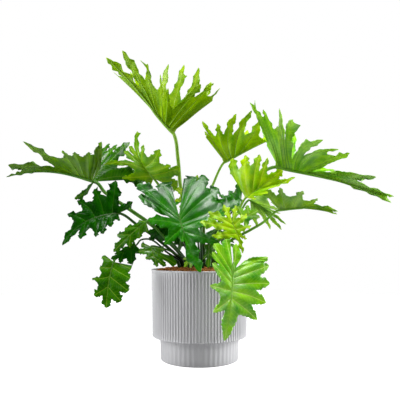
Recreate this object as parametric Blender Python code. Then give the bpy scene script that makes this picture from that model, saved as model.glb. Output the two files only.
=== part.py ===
"""Potted lacy tree philodendron: fluted pot, soil and one solid per frond. Metres, +Z up, front along -Y."""

import math
import random

import bmesh
import bpy
from mathutils import Vector

# Pot
POT_HEIGHT = 0.189
RIM_RADIUS = 0.1038
DRUM_RADIUS = 0.101
DRUM_FLUTES = 100
DRUM_FLUTE_DEPTH = 0.0014
FOOT_HEIGHT = 0.049
DRUM_CORNER = 0.0026
FOOT_TOP_RADIUS = 0.0842
FOOT_RADIUS = 0.0822
FOOT_FLUTES = 50
FOOT_FLUTE_DEPTH = 0.0008
POT_WALL = 0.005
POT_FLOOR = 0.008
RIM_HEIGHT = 0.004

# Soil
SOIL_EDGE = 0.183
SOIL_TOP = 0.1945
SOIL_GAP = 0.0003
HOLE_DEPTH = 0.028
HOLE_GAP = 0.0004

# Fronds
BLADE = 0.0008
STEM_SIDES = 5
FREE_ROWS = 4

# The front view that lobe tips are set in: eye, lift in degrees, and distance in 400ths of its width
EYE = Vector((0.001, -1.07, 0.2385))
LIFT = math.radians(5.36)
REACH = 490.0

# A blade runs from joint to tip with lobes left and right, base first, and its stem from root along via.
# Points are across, down and deep. Notch and sinus say how far out the gaps between lobes begin.
# Wide, bend and paddle shape single lobes, arch and sweep the midrib, and bow and broad all of a blade.
FRONDS = {
    "frond_crest": dict(
        joint=(173.8, 134, 5), tip=(106, 57.5, -5), arch=(0, 0, 0), root=(-6, 12),
        via=[(181, 190, 12), (178, 159, 8)], sweep=(6, 0, 8),
        left=[(220, 88, -45), (213.5, 83, -60), (200.5, 84, -75), (168, 88, -85), (159.5, 74.5, -70),
              (147.5, 63.5, -55), (122, 50.5, -32)],
        right=[(211, 82, 45), (198.5, 67.5, 70), (184, 64.5, 85), (168.5, 64, 95), (146, 74, 75),
               (130, 72, 50), (114, 71.8, 18)],
        notch=dict(left=[0.78, 0.72, 0.46, 0.5, 0.62, 0.7, 0.4],
                   right=[0.58, 0.42, 0.46, 0.42, 0.6, 0.7, 0.8]),
        bend=dict(left={0: -0.09, 4: 0.05, 5: 0.12, 6: -0.05},
                  right={0: -0.14, 1: -0.14, 2: -0.05, 3: 0.06, 6: 0.04}),
        wide=dict(left={0: 0.4, 2: 1.6, 5: 1.3, 6: 1.7, 7: 2.3},
                  right={1: 1.1, 2: 1.0, 3: 0.85, 5: 0.7, 6: 0.4}),
        paddle=0.35, broad=0.055, bow=0.04, last=0.26),
    "frond_upper_right": dict(
        joint=(223.5, 163, 20), tip=(272, 139, 10), arch=(0, 0, 4), root=(10, 16),
        via=[(205, 205, 18), (213.2, 184, 20)],
        left=[(214, 138, 50), (224, 134, 70), (238, 130, 80), (248, 130, 75), (256, 132, 60), (268, 136, 35)],
        right=[(204.5, 131.5, -5), (202.5, 121, -20), (218, 123.5, -30), (236.5, 113.8, -30),
               (252.3, 110.5, -20), (261, 119, -5)],
        notch=dict(left=[0.6] * 6, right=[0.85, 0.7, 0.66, 0.5, 0.55, 0.78]),
        bend=dict(right={0: 0.05, 1: -0.08, 2: -0.12, 3: -0.27, 4: -0.18, 5: 0.1}),
        wide=dict(right={0: 0.6, 1: 0.9, 2: 0.9, 3: 1.0, 4: 0.9, 5: 1.3}, left={4: 1.2, 5: 1.2, 6: 0.7}),
        paddle=0.2, broad=0.085, bow=0.04, last=0.3),
    "frond_far_right": dict(
        joint=(275.4, 167, 10), tip=(394, 199, -14), arch=(0, 0, 10), root=(24, 8),
        via=[(222, 215, 10), (245, 182, 10), (260, 173.5, 10)],
        left=[(262, 130, 68), (272, 134, 76), (281, 130, 80), (295, 134, 85), (303, 150, 85),
              (318, 160, 75), (335, 170, 60), (352, 180, 30), (378, 198, 8)],
        right=[(250, 102.5, -25), (263.5, 109.5, -50), (277.5, 126, -66), (279.5, 108.3, -72),
               (293, 119.5, -76), (323.5, 140, -75), (338.5, 150, -65), (350, 153.2, -50),
               (376.5, 175.5, -34)],
        notch=dict(left=[0.5] * 9, right=[0.86, 0.85, 0.6, 0.56, 0.24, 0.4, 0.7, 0.14, 0.74]),
        bend=dict(right={0: 0.12, 3: 0.05, 4: -0.2, 5: -0.32, 6: -0.34, 7: 0.04, 8: 0.0}),
        wide=dict(right={0: 0.75, 1: 1.0, 2: 1.0, 3: 0.75, 4: 2.0, 5: 1.7, 7: 1.5, 8: 1.05}),
        broad=0.065, bow=0.04, last=0.28),
    "frond_far_left": dict(
        joint=(96.8, 182.7, -20), tip=(6, 177, -30), arch=(0, 0, 34), root=(-27, -2),
        via=[(160, 232, -12), (129, 209, -18), (105, 192.5, -20)], sweep=(0, 0, 2),
        left=[(73, 198.5, -60), (101.5, 141.5, -75), (88.5, 152, -90), (74.5, 152, -95), (62, 150.5, -90),
              (23.5, 141.5, -70), (8, 165, -48)],
        right=[(150, 176.5, 22), (129.6, 142, 35), (117, 144.5, 55), (109, 143.5, 65), (86, 158, 65),
               (56, 161, 45), (30, 167, 10)],
        notch=dict(left=[0.3, 0.82, 0.8, 0.8, 0.7, 0.34, 0.8], right=[0.5, 0.7, 0.75, 0.6, 0.6, 0.6, 0.6]),
        bend=dict(left={0: -0.14, 1: -0.04, 5: 0.08}, right={0: 0.24}),
        wide=dict(left={0: 2.3, 1: 1.3, 4: 1.1, 5: 0.95, 6: 1.2, 7: 0.32},
                  right={0: 1.6, 1: 1.3, 5: 0.5, 6: 0.4}),
        broad=0.08, bow=0.04, last=0.28),
    "frond_left_upright": dict(
        joint=(155, 180, -15), tip=(137.5, 130.8, -10), arch=(-34, -6, 0), root=(-17, 5),
        via=[(178, 225, -3), (165, 195, -9)],
        left=[(146, 190, 0), (122, 178, -12), (104, 164.5, -20), (124, 151, -10), (129, 146, -8)],
        right=[(178, 186, -20), (180, 168, -32), (170.5, 165, -45), (158.5, 149.5, -50), (143.5, 145.5, -45)],
        notch=dict(left=[0.6, 0.5, 0.5, 0.6, 0.6], right=[0.8, 0.8, 0.7, 0.6, 0.32]),
        bend=dict(left={2: 0.22}, right={2: -0.05, 3: -0.2}),
        wide=dict(left={2: 0.6, 4: 1.3, 5: 0.9}, right={0: 2.0, 1: 2.0, 2: 1.1, 3: 1.4, 4: 1.1}),
        paddle=0.2, broad=0.12, bow=0.06, last=0.35, rows=3),
    "frond_left_dark": dict(
        joint=(120.5, 213.5, -45), tip=(62.5, 245.5, -95), arch=(-26, -6, 30), root=(-34, -14),
        via=[(158, 239.5, -35), (137.3, 225, -40)],
        left=[(119, 221, -52), (111, 227, -62), (103, 234, -70), (96.5, 236.5, -78), (81, 238.5, -86)],
        right=[(132.5, 201.5, -48), (115.5, 180.5, -42), (94, 189, -55), (78, 201, -68), (67.2, 214.5, -80)],
        notch=dict(left=[0.8, 0.8, 0.8, 0.5, 0.6], right=[0.5, 0.66, 0.7, 0.62, 0.74]),
        wide=dict(left={3: 0.8, 4: 1.3, 5: 0.8}, right={0: 1.3, 1: 1.2, 2: 1.0, 3: 1.0, 4: 1.2}),
        bend=dict(right={1: 0.0, 2: -0.1, 3: -0.24, 4: -0.2}, left={3: -0.1, 4: -0.04}),
        broad=0.16, bow=0.04, last=0.5, rows=3),
    "frond_left_bright": dict(
        joint=(147, 221, -60), tip=(113.6, 252, -85), arch=(0, -5, 6), root=(-26, -24),
        via=[(168, 242, -50)],
        left=[(147, 232, -62), (139, 238.5, -70), (129.5, 247.5, -78)],
        right=[(138.5, 221, -62), (124.5, 229, -70), (117, 235, -78)],
        wide=dict(left={2: 1.15}, right={2: 1.2}),
        broad=0.2, sinus=0.7, bow=0.04, last=0.5, rows=3),
    "frond_left_low": dict(
        joint=(136.5, 245, -60), tip=(111, 259, -76), arch=(0, -2, 4), root=(-37, -23),
        via=[(166, 251.5, -43), (152, 240, -55), (141, 239.8, -57)],
        left=[(140.5, 252.5, -61), (131.5, 264.5, -68), (120, 263, -75)],
        right=[(133.5, 241.5, -60), (122, 248.5, -66), (114.5, 254, -72)],
        broad=0.2, sinus=0.6, wide=dict(left={0: 1.5, 1: 1.2}), bow=0.03, last=0.5, rows=3),
    "frond_left_hanging": dict(
        joint=(114, 260.5, -67), tip=(106.5, 308.5, -95), arch=(-6, -8, 0), root=(-42, -30),
        via=[(166, 256.5, -51), (150, 253.5, -48), (134, 252.5, -54), (122, 255.5, -60)],
        left=[(131, 269, -80), (130, 278.5, -90), (129.5, 291.5, -95), (121, 301.5, -97)],
        right=[(102, 256.5, -66), (99.5, 268, -78), (92, 278.5, -86), (94.3, 295, -92)],
        notch=dict(left=[0.92, 0.86, 0.78, 0.7], right=[0.85, 0.76, 0.7, 0.72]),
        bend=dict(right={2: 0.12}),
        wide=dict(left={0: 1.2, 2: 1.1, 3: 1.2, 4: 1.25}, right={2: 0.5, 3: 1.2}),
        broad=0.21, bow=0.04, last=0.56, rows=3),
    "frond_rim_left": dict(
        joint=(151, 246, -64), tip=(157, 267, -78), arch=(0, -4, 0), root=(-22, -33),
        via=[(172, 252, -50), (160, 247.5, -60)],
        left=[(164, 250, -64), (172, 263, -68), (166, 265, -74)],
        right=[(141, 244.5, -66), (138.5, 251.5, -70), (145, 260, -78)],
        wide=dict(left={0: 1.3}, right={0: 1.5, 1: 1.4, 2: 1.2}),
        broad=0.22, sinus=0.74, bow=0.04, last=0.5, rows=3),
    "frond_inner_left": dict(
        joint=(172, 227, -42), tip=(147.6, 233, -50), arch=(0, 0, 4), root=(-16, -14),
        via=[(184, 245, -28)],
        left=[(178, 245, -41), (161, 242, -45), (149.5, 240.5, -48)],
        right=[(167, 219, -40), (158, 222, -42), (151, 225, -46)],
        broad=0.2, sinus=0.7, bow=0.04, last=0.5, rows=3),
    "frond_centre": dict(
        joint=(178.7, 214.8, -72), tip=(201, 272.5, -109), arch=(-8, -14, 0), root=(-2, -10),
        via=[(188, 240, -48), (184, 222, -58)],
        left=[(194, 176.5, -14), (205, 175.5, -12), (219, 188.5, -24), (241, 199.5, -36), (227, 213.5, -66),
              (219.5, 243, -92)],
        right=[(161, 183, -33), (138, 184, -36), (138, 196.5, -42), (147.5, 219.8, -72),
               (164.5, 244.5, -91), (182, 242, -101)],
        notch=dict(left=[0.93, 0.82, 0.74, 0.5, 0.42, 0.5], right=[0.85, 0.86, 0.36, 0.6, 0.8, 0.7]),
        bend=dict(left={2: -0.04, 3: 0.05}, right={0: -0.05, 2: -0.05, 3: -0.04}),
        wide=dict(left={0: 0.75, 1: 0.75, 2: 0.7, 3: 0.62, 4: 0.8, 5: 0.75, 6: 0.8},
                  right={0: 1.4, 1: 0.8, 2: 0.62, 3: 1.1, 4: 1.2}),
        broad=0.2, bow=0.05, last=0.3),
    "frond_young_frilly": dict(
        joint=(232, 222, -92), tip=(243, 253.5, -100), arch=(4, -6, 0), root=(14, -22),
        via=[(214, 245, -60), (224, 232, -78)],
        left=[(236, 205.5, -84), (247, 214, -88), (251.5, 226, -94), (247, 239, -98)],
        right=[(223.5, 204.7, -82), (208, 212, -88), (200, 222, -96), (212, 236, -104)],
        wide=dict(left={4: 0.75}),
        broad=0.17, sinus=0.45, bow=0.1, last=0.4, rows=3),
    "frond_right_cupped": dict(
        joint=(245, 198.5, -40), tip=(282.5, 170, -58), arch=(0, -4, -2), root=(20, -6),
        via=[(222, 235, -28), (238, 212, -36)],
        left=[(232.5, 158, -15), (246, 155, -42), (260, 154.5, -50), (267.8, 157.5, -54)],
        right=[(256, 199, -55), (268, 193, -66), (280, 185.5, -66), (295.5, 176.8, -52)],
        notch=dict(left=[0.72, 0.74, 0.6, 0.6], right=[0.7, 0.75, 0.75, 0.76]),
        bend=dict(left={0: -0.14, 1: -0.1, 2: -0.08, 3: 0.0}, right={3: -0.12}),
        wide=dict(left={0: 1.4, 1: 1.15, 2: 1.05, 3: 0.9, 4: 1.5}, right={3: 0.6}),
        paddle=0.1, broad=0.11, bow=0.06, last=0.34, rows=3),
    "frond_right_low": dict(
        joint=(277.8, 210.5, -20), tip=(338, 213.5, -32), arch=(0, 0, 12), root=(34, -2),
        via=[(228, 243, -16), (250, 230.2, -20), (263, 222.5, -21)],
        left=[(272, 200, 10), (286, 196, 22), (302, 203, 10), (320, 207.5, 0)],
        right=[(266, 189.5, -32), (280, 187.5, -45), (303.5, 191, -55), (318, 198.5, -45)],
        notch=dict(left=[0.66] * 4, right=[0.66, 0.6, 0.6, 0.7]),
        bend=dict(right={2: -0.12}),
        wide=dict(right={0: 1.8, 2: 1.3}),
        broad=0.12, bow=0.04, last=0.4, rows=3),
    "frond_right_pleated": dict(
        joint=(249, 200, 5), tip=(286, 224.5, 0), arch=(0, 0, 8), root=(26, 20),
        via=[(220, 230, 14), (240, 212, 8)],
        left=[(257.5, 228, -12), (270.5, 229.5, -12), (281.8, 230, -6)],
        right=[(267, 190, 25), (278, 209, 20), (280.5, 213.5, 14)],
        bend=dict(left={1: 0.1, 2: 0.05}),
        notch=dict(left=[0.4, 0.4, 0.4], right=[0.85, 0.6, 0.5]),
        wide=dict(right={0: 2.8, 1: 1.2, 2: 0.8}, left={3: 0.8}),
        broad=0.075, bow=0.03, last=0.3, rows=3),
    "frond_inner_right_small": dict(
        joint=(243, 219, -60), tip=(258, 210.5, -72), arch=(0, 0, 2), root=(30, -14),
        via=[(226, 242, -42)],
        left=[(238, 206, -58), (247, 205, -64)],
        right=[(247, 227, -64), (260, 217.5, -70)],
        wide=dict(right={0: 1.3}),
        broad=0.24, sinus=0.66, bow=0.03, last=0.4, rows=3),
    "frond_inner_right": dict(
        joint=(242, 200, -8), tip=(213, 203, -30), arch=(0, 0, 4), root=(8, 2),
        via=[(214, 235, 0), (236, 207, 0)],
        left=[(239, 209, -14), (229, 212, -22), (220, 209, -28)],
        right=[(237, 183.5, -2), (229, 190.5, -8), (219, 194.5, -18)],
        broad=0.2, sinus=0.62, bow=0.04, last=0.45, rows=3),
    "frond_front_hanging": dict(
        joint=(233, 268.5, -134), tip=(224.5, 341, -168), arch=(6, -16, 0), root=(22, -34),
        via=[(231, 245, -92), (236, 256, -118)],
        left=[(236, 243.5, -114), (268, 257, -126), (269, 265.8, -132), (269.8, 283.5, -142),
              (265, 301, -152), (257, 319, -158)],
        right=[(226, 239, -112), (214, 243.5, -118), (212, 252, -126), (212, 263, -138), (210, 285.5, -150),
               (213, 312.5, -160)],
        notch=dict(left=[0.2, 0.9, 0.78, 0.74, 0.78, 0.72], right=[0.9, 0.8, 0.72, 0.62, 0.62, 0.7]),
        bend=dict(left={0: 0.06, 1: -0.08, 3: -0.03, 4: -0.08, 5: -0.05}),
        wide=dict(left={0: 0.8, 1: 0.85, 2: 0.8}, right={0: 0.9, 1: 0.8, 2: 0.8, 3: 0.9}),
        broad=0.17, bow=0.05, last=0.42),
    "frond_rim_centre": dict(
        joint=(209, 243, -70), tip=(208, 268, -80), arch=(0, -3, 0), root=(6, -37),
        via=[(205, 256, -55)],
        left=[(214, 245, -70), (215, 258, -74)],
        right=[(204, 246, -70), (203, 259, -74)],
        broad=0.24, sinus=0.7, bow=0.03, last=0.4, rows=3),
    "frond_rim_lime": dict(
        joint=(194, 252, -70), tip=(184, 267, -80), arch=(0, -3, 0), root=(-4, -26),
        via=[(198, 262, -45)],
        left=[(196, 262, -72), (191, 268, -76)],
        right=[(187, 250, -72), (183, 259, -76)],
        broad=0.2, sinus=0.6, bow=0.03, last=0.4, rows=3),
    "frond_inner_back": dict(
        joint=(189, 192, -10), tip=(180, 211, -24), arch=(0, -4, 0), root=(0, 24),
        via=[(198, 240, 14), (196, 205, 8)],
        left=[(198, 175, -6), (202, 188, -12), (192, 204, -20)],
        right=[(187, 178, -4), (174.5, 188, -10), (174, 201, -18)],
        broad=0.18, sinus=0.55, bow=0.03, last=0.35, rows=3),
    "frond_back_left": dict(
        joint=(182, 236, 110), tip=(180, 250, 215), arch=(0, 0, 26), root=(-20, 26),
        via=[(187, 242, 64)],
        left=[(169, 243, 108), (165, 240, 140), (166, 243, 175), (172, 248, 200)],
        right=[(194, 243, 108), (200, 240, 140), (198, 243, 178), (190, 249, 203)],
        broad=0.12, sinus=0.55, bow=0.08, last=0.45, rows=3),
    "frond_back_middle": dict(
        joint=(203, 200, 150), tip=(206, 206, 290), arch=(0, 0, 30), root=(4, 38),
        via=[(201, 216, 90)],
        left=[(180, 214, 140), (166, 206, 170), (166, 208, 220), (182, 209, 260)],
        right=[(226, 214, 140), (240, 208, 170), (242, 210, 220), (228, 209, 262)],
        broad=0.12, sinus=0.55, bow=0.08, last=0.45, rows=3),
    "frond_back_right": dict(
        joint=(214, 230, 100), tip=(224, 245, 205), arch=(0, 0, 24), root=(22, 33),
        via=[(209, 238, 60)],
        left=[(202, 238, 106), (200, 236, 135), (206, 240, 170), (214, 245, 192)],
        right=[(230, 243, 96), (236, 240, 120), (238, 240, 150), (234, 243, 180)],
        broad=0.12, sinus=0.55, bow=0.08, last=0.45, rows=3),
}


def remove_scene_objects():
    for obj in list(bpy.data.objects):
        bpy.data.objects.remove(obj, do_unlink=True)


def material(name, colour, roughness):
    made = bpy.data.materials.new(name)
    made.use_nodes = True
    shader = made.node_tree.nodes["Principled BSDF"]
    shader.inputs["Base Color"].default_value = (*colour, 1.0)
    shader.inputs["Roughness"].default_value = roughness
    shader.inputs["Metallic"].default_value = 0.0
    return made


def object_from(bm, name, made):
    mesh = bpy.data.meshes.new(name)
    bm.to_mesh(mesh)
    bm.free()
    obj = bpy.data.objects.new(name, mesh)
    bpy.context.scene.collection.objects.link(obj)
    if made:
        obj.data.materials.append(made)
    return obj


def activate(obj):
    for other in bpy.context.selected_objects:
        other.select_set(False)
    obj.select_set(True)
    bpy.context.view_layer.objects.active = obj


def apply_modifier(obj, modifier):
    activate(obj)
    bpy.ops.object.modifier_apply(modifier=modifier.name)


def combine(obj, others, operation, solver="EXACT"):
    """Joins or cuts obj with the other objects in one Boolean, then removes them."""
    group = bpy.data.collections.new(obj.name + "_tools")
    bpy.context.scene.collection.children.link(group)
    for other in others:
        bpy.context.scene.collection.objects.unlink(other)
        group.objects.link(other)
        other.hide_render = True
        other.display_type = "WIRE"
    modifier = obj.modifiers.new("combine", "BOOLEAN")
    modifier.operation = operation
    modifier.operand_type = "COLLECTION"
    modifier.collection = group
    modifier.solver = solver
    apply_modifier(obj, modifier)
    for other in others:
        bpy.data.objects.remove(other, do_unlink=True)
    bpy.data.collections.remove(group)


def seen(u, v, depth):
    """The point met at this depth in millimetres behind the pot's axis, u across and v down the front view."""
    along = Vector((0.0, math.cos(LIFT), math.sin(LIFT)))
    above = Vector((0.0, -math.sin(LIFT), math.cos(LIFT)))
    ray = along + Vector((1.0, 0.0, 0.0)) * ((u - 200.0) / REACH) + above * ((200.0 - v) / REACH)
    return EYE + ray * ((depth / 1000.0 - EYE.y) / ray.y)


# Pot
def ring(bm, radius, z, count, groove=0.0):
    """A closed ring of count points, where every second one lies groove further in."""
    made = []
    for i in range(count):
        angle = 2.0 * math.pi * i / count
        r = radius - (groove if i % 2 else 0.0)
        made.append(bm.verts.new((r * math.sin(angle), -r * math.cos(angle), z)))
    return made


def bridge(bm, low, high):
    """Faces between two rings, whose counts may differ by a whole factor."""
    if len(low) == len(high):
        for i in range(len(low)):
            j = (i + 1) % len(low)
            bm.faces.new((low[i], low[j], high[j], high[i]))
        return
    few, many, flip = (low, high, False) if len(low) < len(high) else (high, low, True)
    share = len(many) // len(few)
    for i in range(len(few)):
        j = (i + 1) % len(few)
        between = [many[(i * share + k) % len(many)] for k in range(share + 1)]
        corners = [few[i], few[j], *reversed(between)]
        bm.faces.new(list(reversed(corners)) if flip else corners)


def pot():
    drum, foot, plain = 2 * DRUM_FLUTES, 2 * FOOT_FLUTES, 50
    inner = RIM_RADIUS - POT_WALL
    flute_low = FOOT_HEIGHT + DRUM_CORNER
    flute_high = POT_HEIGHT - RIM_HEIGHT
    bm = bmesh.new()
    rings = [
        ring(bm, FOOT_RADIUS - 0.003, 0.0, plain),
        ring(bm, FOOT_RADIUS, 0.003, foot, FOOT_FLUTE_DEPTH),
        ring(bm, FOOT_TOP_RADIUS, FOOT_HEIGHT, foot, FOOT_FLUTE_DEPTH),
        ring(bm, DRUM_RADIUS - DRUM_CORNER, FOOT_HEIGHT, foot),
        ring(bm, DRUM_RADIUS, flute_low, drum, DRUM_FLUTE_DEPTH),
        ring(bm, RIM_RADIUS - 0.0008, flute_high, drum, DRUM_FLUTE_DEPTH),
        ring(bm, RIM_RADIUS, flute_high + 0.001, plain),
        ring(bm, RIM_RADIUS, POT_HEIGHT - 0.001, plain),
        ring(bm, RIM_RADIUS - 0.001, POT_HEIGHT, plain),
        ring(bm, inner + 0.001, POT_HEIGHT, plain),
        ring(bm, inner, POT_HEIGHT - 0.001, plain),
        ring(bm, inner - 0.003, FOOT_HEIGHT + 0.012, plain),
        ring(bm, FOOT_RADIUS - 0.007, FOOT_HEIGHT + 0.004, plain),
        ring(bm, FOOT_RADIUS - 0.009, POT_FLOOR, plain),
    ]
    for low, high in zip(rings, rings[1:]):
        bridge(bm, low, high)
    bm.faces.new(list(reversed(rings[0])))
    bm.faces.new(rings[-1])
    bmesh.ops.recalc_face_normals(bm, faces=bm.faces)
    return object_from(bm, "pot", material("pot_grey", (0.34, 0.345, 0.36), 0.55))


# Soil
def soil():
    count, plain = 50, SOIL_GAP
    inner = RIM_RADIUS - POT_WALL
    chance = random.Random(5)
    bm = bmesh.new()
    slope = 0.003 / (POT_HEIGHT - 0.001 - FOOT_HEIGHT - 0.012)
    edge = inner - plain - slope * (POT_HEIGHT - SOIL_EDGE)
    rings = [
        ring(bm, FOOT_RADIUS - 0.009 - plain, POT_FLOOR + plain, count),
        ring(bm, FOOT_RADIUS - 0.007 - plain, FOOT_HEIGHT + 0.004 + plain, count),
        ring(bm, inner - 0.003 - plain, FOOT_HEIGHT + 0.012 + plain, count),
        ring(bm, edge, SOIL_EDGE, count),
    ]
    for share, parts in ((0.8, 25), (0.52, 25)):
        height = SOIL_TOP - (SOIL_TOP - SOIL_EDGE) * share ** 3
        made = ring(bm, edge * share, height, parts)
        for vert in made:
            vert.co.z += chance.uniform(-0.0016, 0.0016)
        rings.append(made)
    for low, high in zip(rings, rings[1:]):
        bridge(bm, low, high)
    bm.faces.new(list(reversed(rings[0])))
    centre = bm.verts.new((0.0, 0.0, SOIL_TOP))
    last = rings[-1]
    for i in range(len(last)):
        bm.faces.new((last[i], last[(i + 1) % len(last)], centre))
    bmesh.ops.recalc_face_normals(bm, faces=bm.faces)
    obj = object_from(bm, "soil", material("soil_brown", (0.12, 0.06, 0.03), 0.95))
    combine(obj, [hole(name, frond) for name, frond in FRONDS.items()], "DIFFERENCE")
    return obj


def stem_radii(frond):
    """The stem's radius at the soil and at the joint, by the blade's length."""
    length = (seen(*frond["tip"]) - seen(*frond["joint"])).length
    thick = min(0.0048, max(0.0018, 0.0012 + 0.018 * length))
    return thick, 0.78 * thick


def hole(name, frond):
    x, y = frond["root"]
    radius = (stem_radii(frond)[0] + HOLE_GAP) / math.cos(math.pi / 6)
    bm = bmesh.new()
    bmesh.ops.create_cone(bm, cap_ends=True, segments=6, radius1=radius, radius2=radius, depth=0.06)
    for vert in bm.verts:
        vert.co += Vector((x / 1000.0, y / 1000.0, SOIL_TOP - HOLE_DEPTH + 0.03))
    return object_from(bm, name + "_hole", None)


# Fronds
def bezier(a, b, c, t):
    return a * (1 - t) ** 2 + b * (2 * t * (1 - t)) + c * t ** 2


def slope_of(a, b, c, t):
    return ((b - a) * (2 * (1 - t)) + (c - b) * (2 * t)).normalized()


def root_stations(frond):
    """Where the side ribs leave the midrib, as shares of its length."""
    count = len(frond["left"])
    return [0.03 + (frond["last"] - 0.03) * (k / (count - 1)) ** 1.3 for k in range(count)]


def midrib(frond):
    joint, tip = seen(*frond["joint"]), seen(*frond["tip"])
    return joint, (joint + tip) / 2 + Vector(frond["arch"]) / 1000.0, tip


def ribs_of(frond, side):
    """Each rib of one side as (start, control, end, face direction), base first, and the midrib's end last."""
    middle = midrib(frond)
    tips = [seen(*point) for point in frond[side]]
    starts = [bezier(*middle, share) for share in root_stations(frond)]
    turn = 1.0 if side == "left" else -1.0
    bends = frond.get("bend", {}).get(side, {})
    ends = [*tips, middle[2]]
    made = []
    for k, (start, end) in enumerate(zip(starts, tips)):
        face = (ends[k + 1] - start).cross(end - start)
        if k:
            face = face.normalized() + (end - start).cross(ends[k - 1] - start).normalized()
        face = (face * turn).normalized()
        length = (end - start).length
        ahead = face.cross(end - start).normalized() * -turn
        control = (start + end) / 2 + face * (frond["bow"] * length) + ahead * (bends.get(k, 0.0) * length)
        made.append((start, control, end, face))
    start = starts[-1]
    share = root_stations(frond)[-1]
    control = bezier(*middle, share) + slope_of(*middle, share) * ((middle[2] - start).length / 2)
    control += Vector(frond.get("sweep", (0, 0, 0))) / 1000.0
    made.append((start, control, middle[2], made[-1][3]))
    return made


def on_rib(rib, t):
    return bezier(rib[0], rib[1], rib[2], t)


def length_of(rib):
    return (rib[2] - rib[0]).length


def clear_of(rib, point):
    """The distance from a point to a rib."""
    return min((on_rib(rib, i / 16) - point).length for i in range(17))


def sinus_reach(frond, side, ribs):
    """How far from the midrib each gap between two lobes begins, base first."""
    shares = frond.get("notch", {}).get(side) or [frond.get("sinus", 0.5)] * (len(ribs) - 1)
    return [
        share * min(length_of(ribs[k]), length_of(ribs[k + 1]))
        for k, share in enumerate(shares)
    ]


def boundary(ribs, k, reach):
    """The line halfway between two neighbouring ribs."""
    a, b = ribs[k], ribs[k + 1]
    return (on_rib(a, reach / length_of(a)) + on_rib(b, reach / length_of(b))) / 2


def outline(e, phase, paddle):
    """A lobe's half width along its free part: rounded, with alternate side teeth and an acute end."""
    body = (1.0 - e ** 2.6) ** 0.8 * (1.0 - paddle * (1.0 - e) ** 1.5)
    return body * (1.0 + 0.26 * math.cos(2 * math.pi * 2 * e + phase))


def margin(frond, side, ribs, k, start, other, rows, phase, way):
    """One edge of a lobe's free part, from the notch at start to the lobe's end, as one point a row."""
    rib = ribs[k]
    wide = frond.get("wide", {}).get(side, {}).get(k, 1.0)
    low = min(0.97, (start - rib[0]).length / length_of(rib))
    along = slope_of(*rib[:3], low)
    across = rib[3].cross(along).normalized() * way
    gap = (start - on_rib(rib, low)).dot(across)
    rest = start - on_rib(rib, low) - across * gap
    made = []
    for j in range(1, rows + 1):
        e = j / rows
        t = low + (1 - low) * e
        here = on_rib(rib, t)
        across = rib[3].cross(slope_of(*rib[:3], t)).normalized() * way
        width = frond["broad"] * wide * length_of(rib) * outline(e, phase, frond.get("paddle", 0.0))
        width = min(width, 0.44 * clear_of(other, here))
        blend = max(0.0, 1.0 - e / 0.3) ** 2
        made.append(here + across * (gap * blend + width * (1 - blend)) + rest * (1 - e) ** 3)
    return made


def free_rows(frond, side, ribs, k, inner, before, after, others, rows, way):
    back = margin(frond, side, ribs, k, before, others[0], rows, 0.0, -way)
    ahead = margin(frond, side, ribs, k, after, others[1], rows, math.pi, way)
    middle = [on_rib(ribs[k], inner + (1 - inner) * j / rows) for j in range(1, rows + 1)]
    return [list(row) for row in zip(back, middle, ahead)]


def lobe(bm, frond, side, ribs, reaches, k, opposite):
    """One side lobe: an inner part bounded by its neighbours and a free part with its own width."""
    rib = ribs[k]
    stations = root_stations(frond)
    middle = midrib(frond)
    near = stations[k - 1] if k else -stations[0]
    low = max(0.0, (near + stations[k]) / 2)
    high = (stations[k] + stations[min(k + 1, len(stations) - 1)]) / 2
    inner = (reaches[k] + (reaches[k - 1] if k else reaches[k])) / 2 / length_of(rib)
    after = boundary(ribs, k, reaches[k])
    if k:
        before = boundary(ribs, k - 1, reaches[k - 1])
    else:
        centre = on_rib(rib, inner)
        along = slope_of(*rib[:3], inner)
        across = (after - centre) - along * (after - centre).dot(along)
        width = min(frond["broad"] * 0.9 * length_of(rib), 0.4 * clear_of(opposite, centre))
        before = centre - across.normalized() * width
    rows = [[bezier(*middle, low), bezier(*middle, stations[k]), bezier(*middle, high)]]
    rows.append([before, on_rib(rib, inner), after])
    others = (ribs[k - 1] if k else opposite, ribs[k + 1])
    way = -1.0 if side == "left" else 1.0
    rows += free_rows(frond, side, ribs, k, inner, before, after, others, frond.get("rows", FREE_ROWS), way)
    patch(bm, rows)


def end_lobe(bm, frond, sides):
    """The lobe that ends the blade, between the last side lobes."""
    left, right = sides["left"], sides["right"]
    face = (left[0][-1][3] + right[0][-1][3]).normalized()
    ribs = [*left[0][:-1], (*left[0][-1][:3], face)]
    rib = ribs[-1]
    inner = (left[1][-1] + right[1][-1]) / 2 / length_of(rib)
    after = boundary(left[0], len(left[0]) - 2, left[1][-1])
    before = boundary(right[0], len(right[0]) - 2, right[1][-1])
    rows = [[rib[0]] * 3, [before, on_rib(rib, inner), after]]
    others = (right[0][-2], left[0][-2])
    count = frond.get("rows", FREE_ROWS)
    rows += free_rows(frond, "left", ribs, len(ribs) - 1, inner, before, after, others, count, 1.0)
    patch(bm, rows)


def patch(bm, rows):
    made = [[bm.verts.new(point) for point in row] for row in rows]
    for low, high in zip(made, made[1:]):
        for i in range(len(low) - 1):
            bm.faces.new((low[i], low[i + 1], high[i + 1], high[i]))


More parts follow.
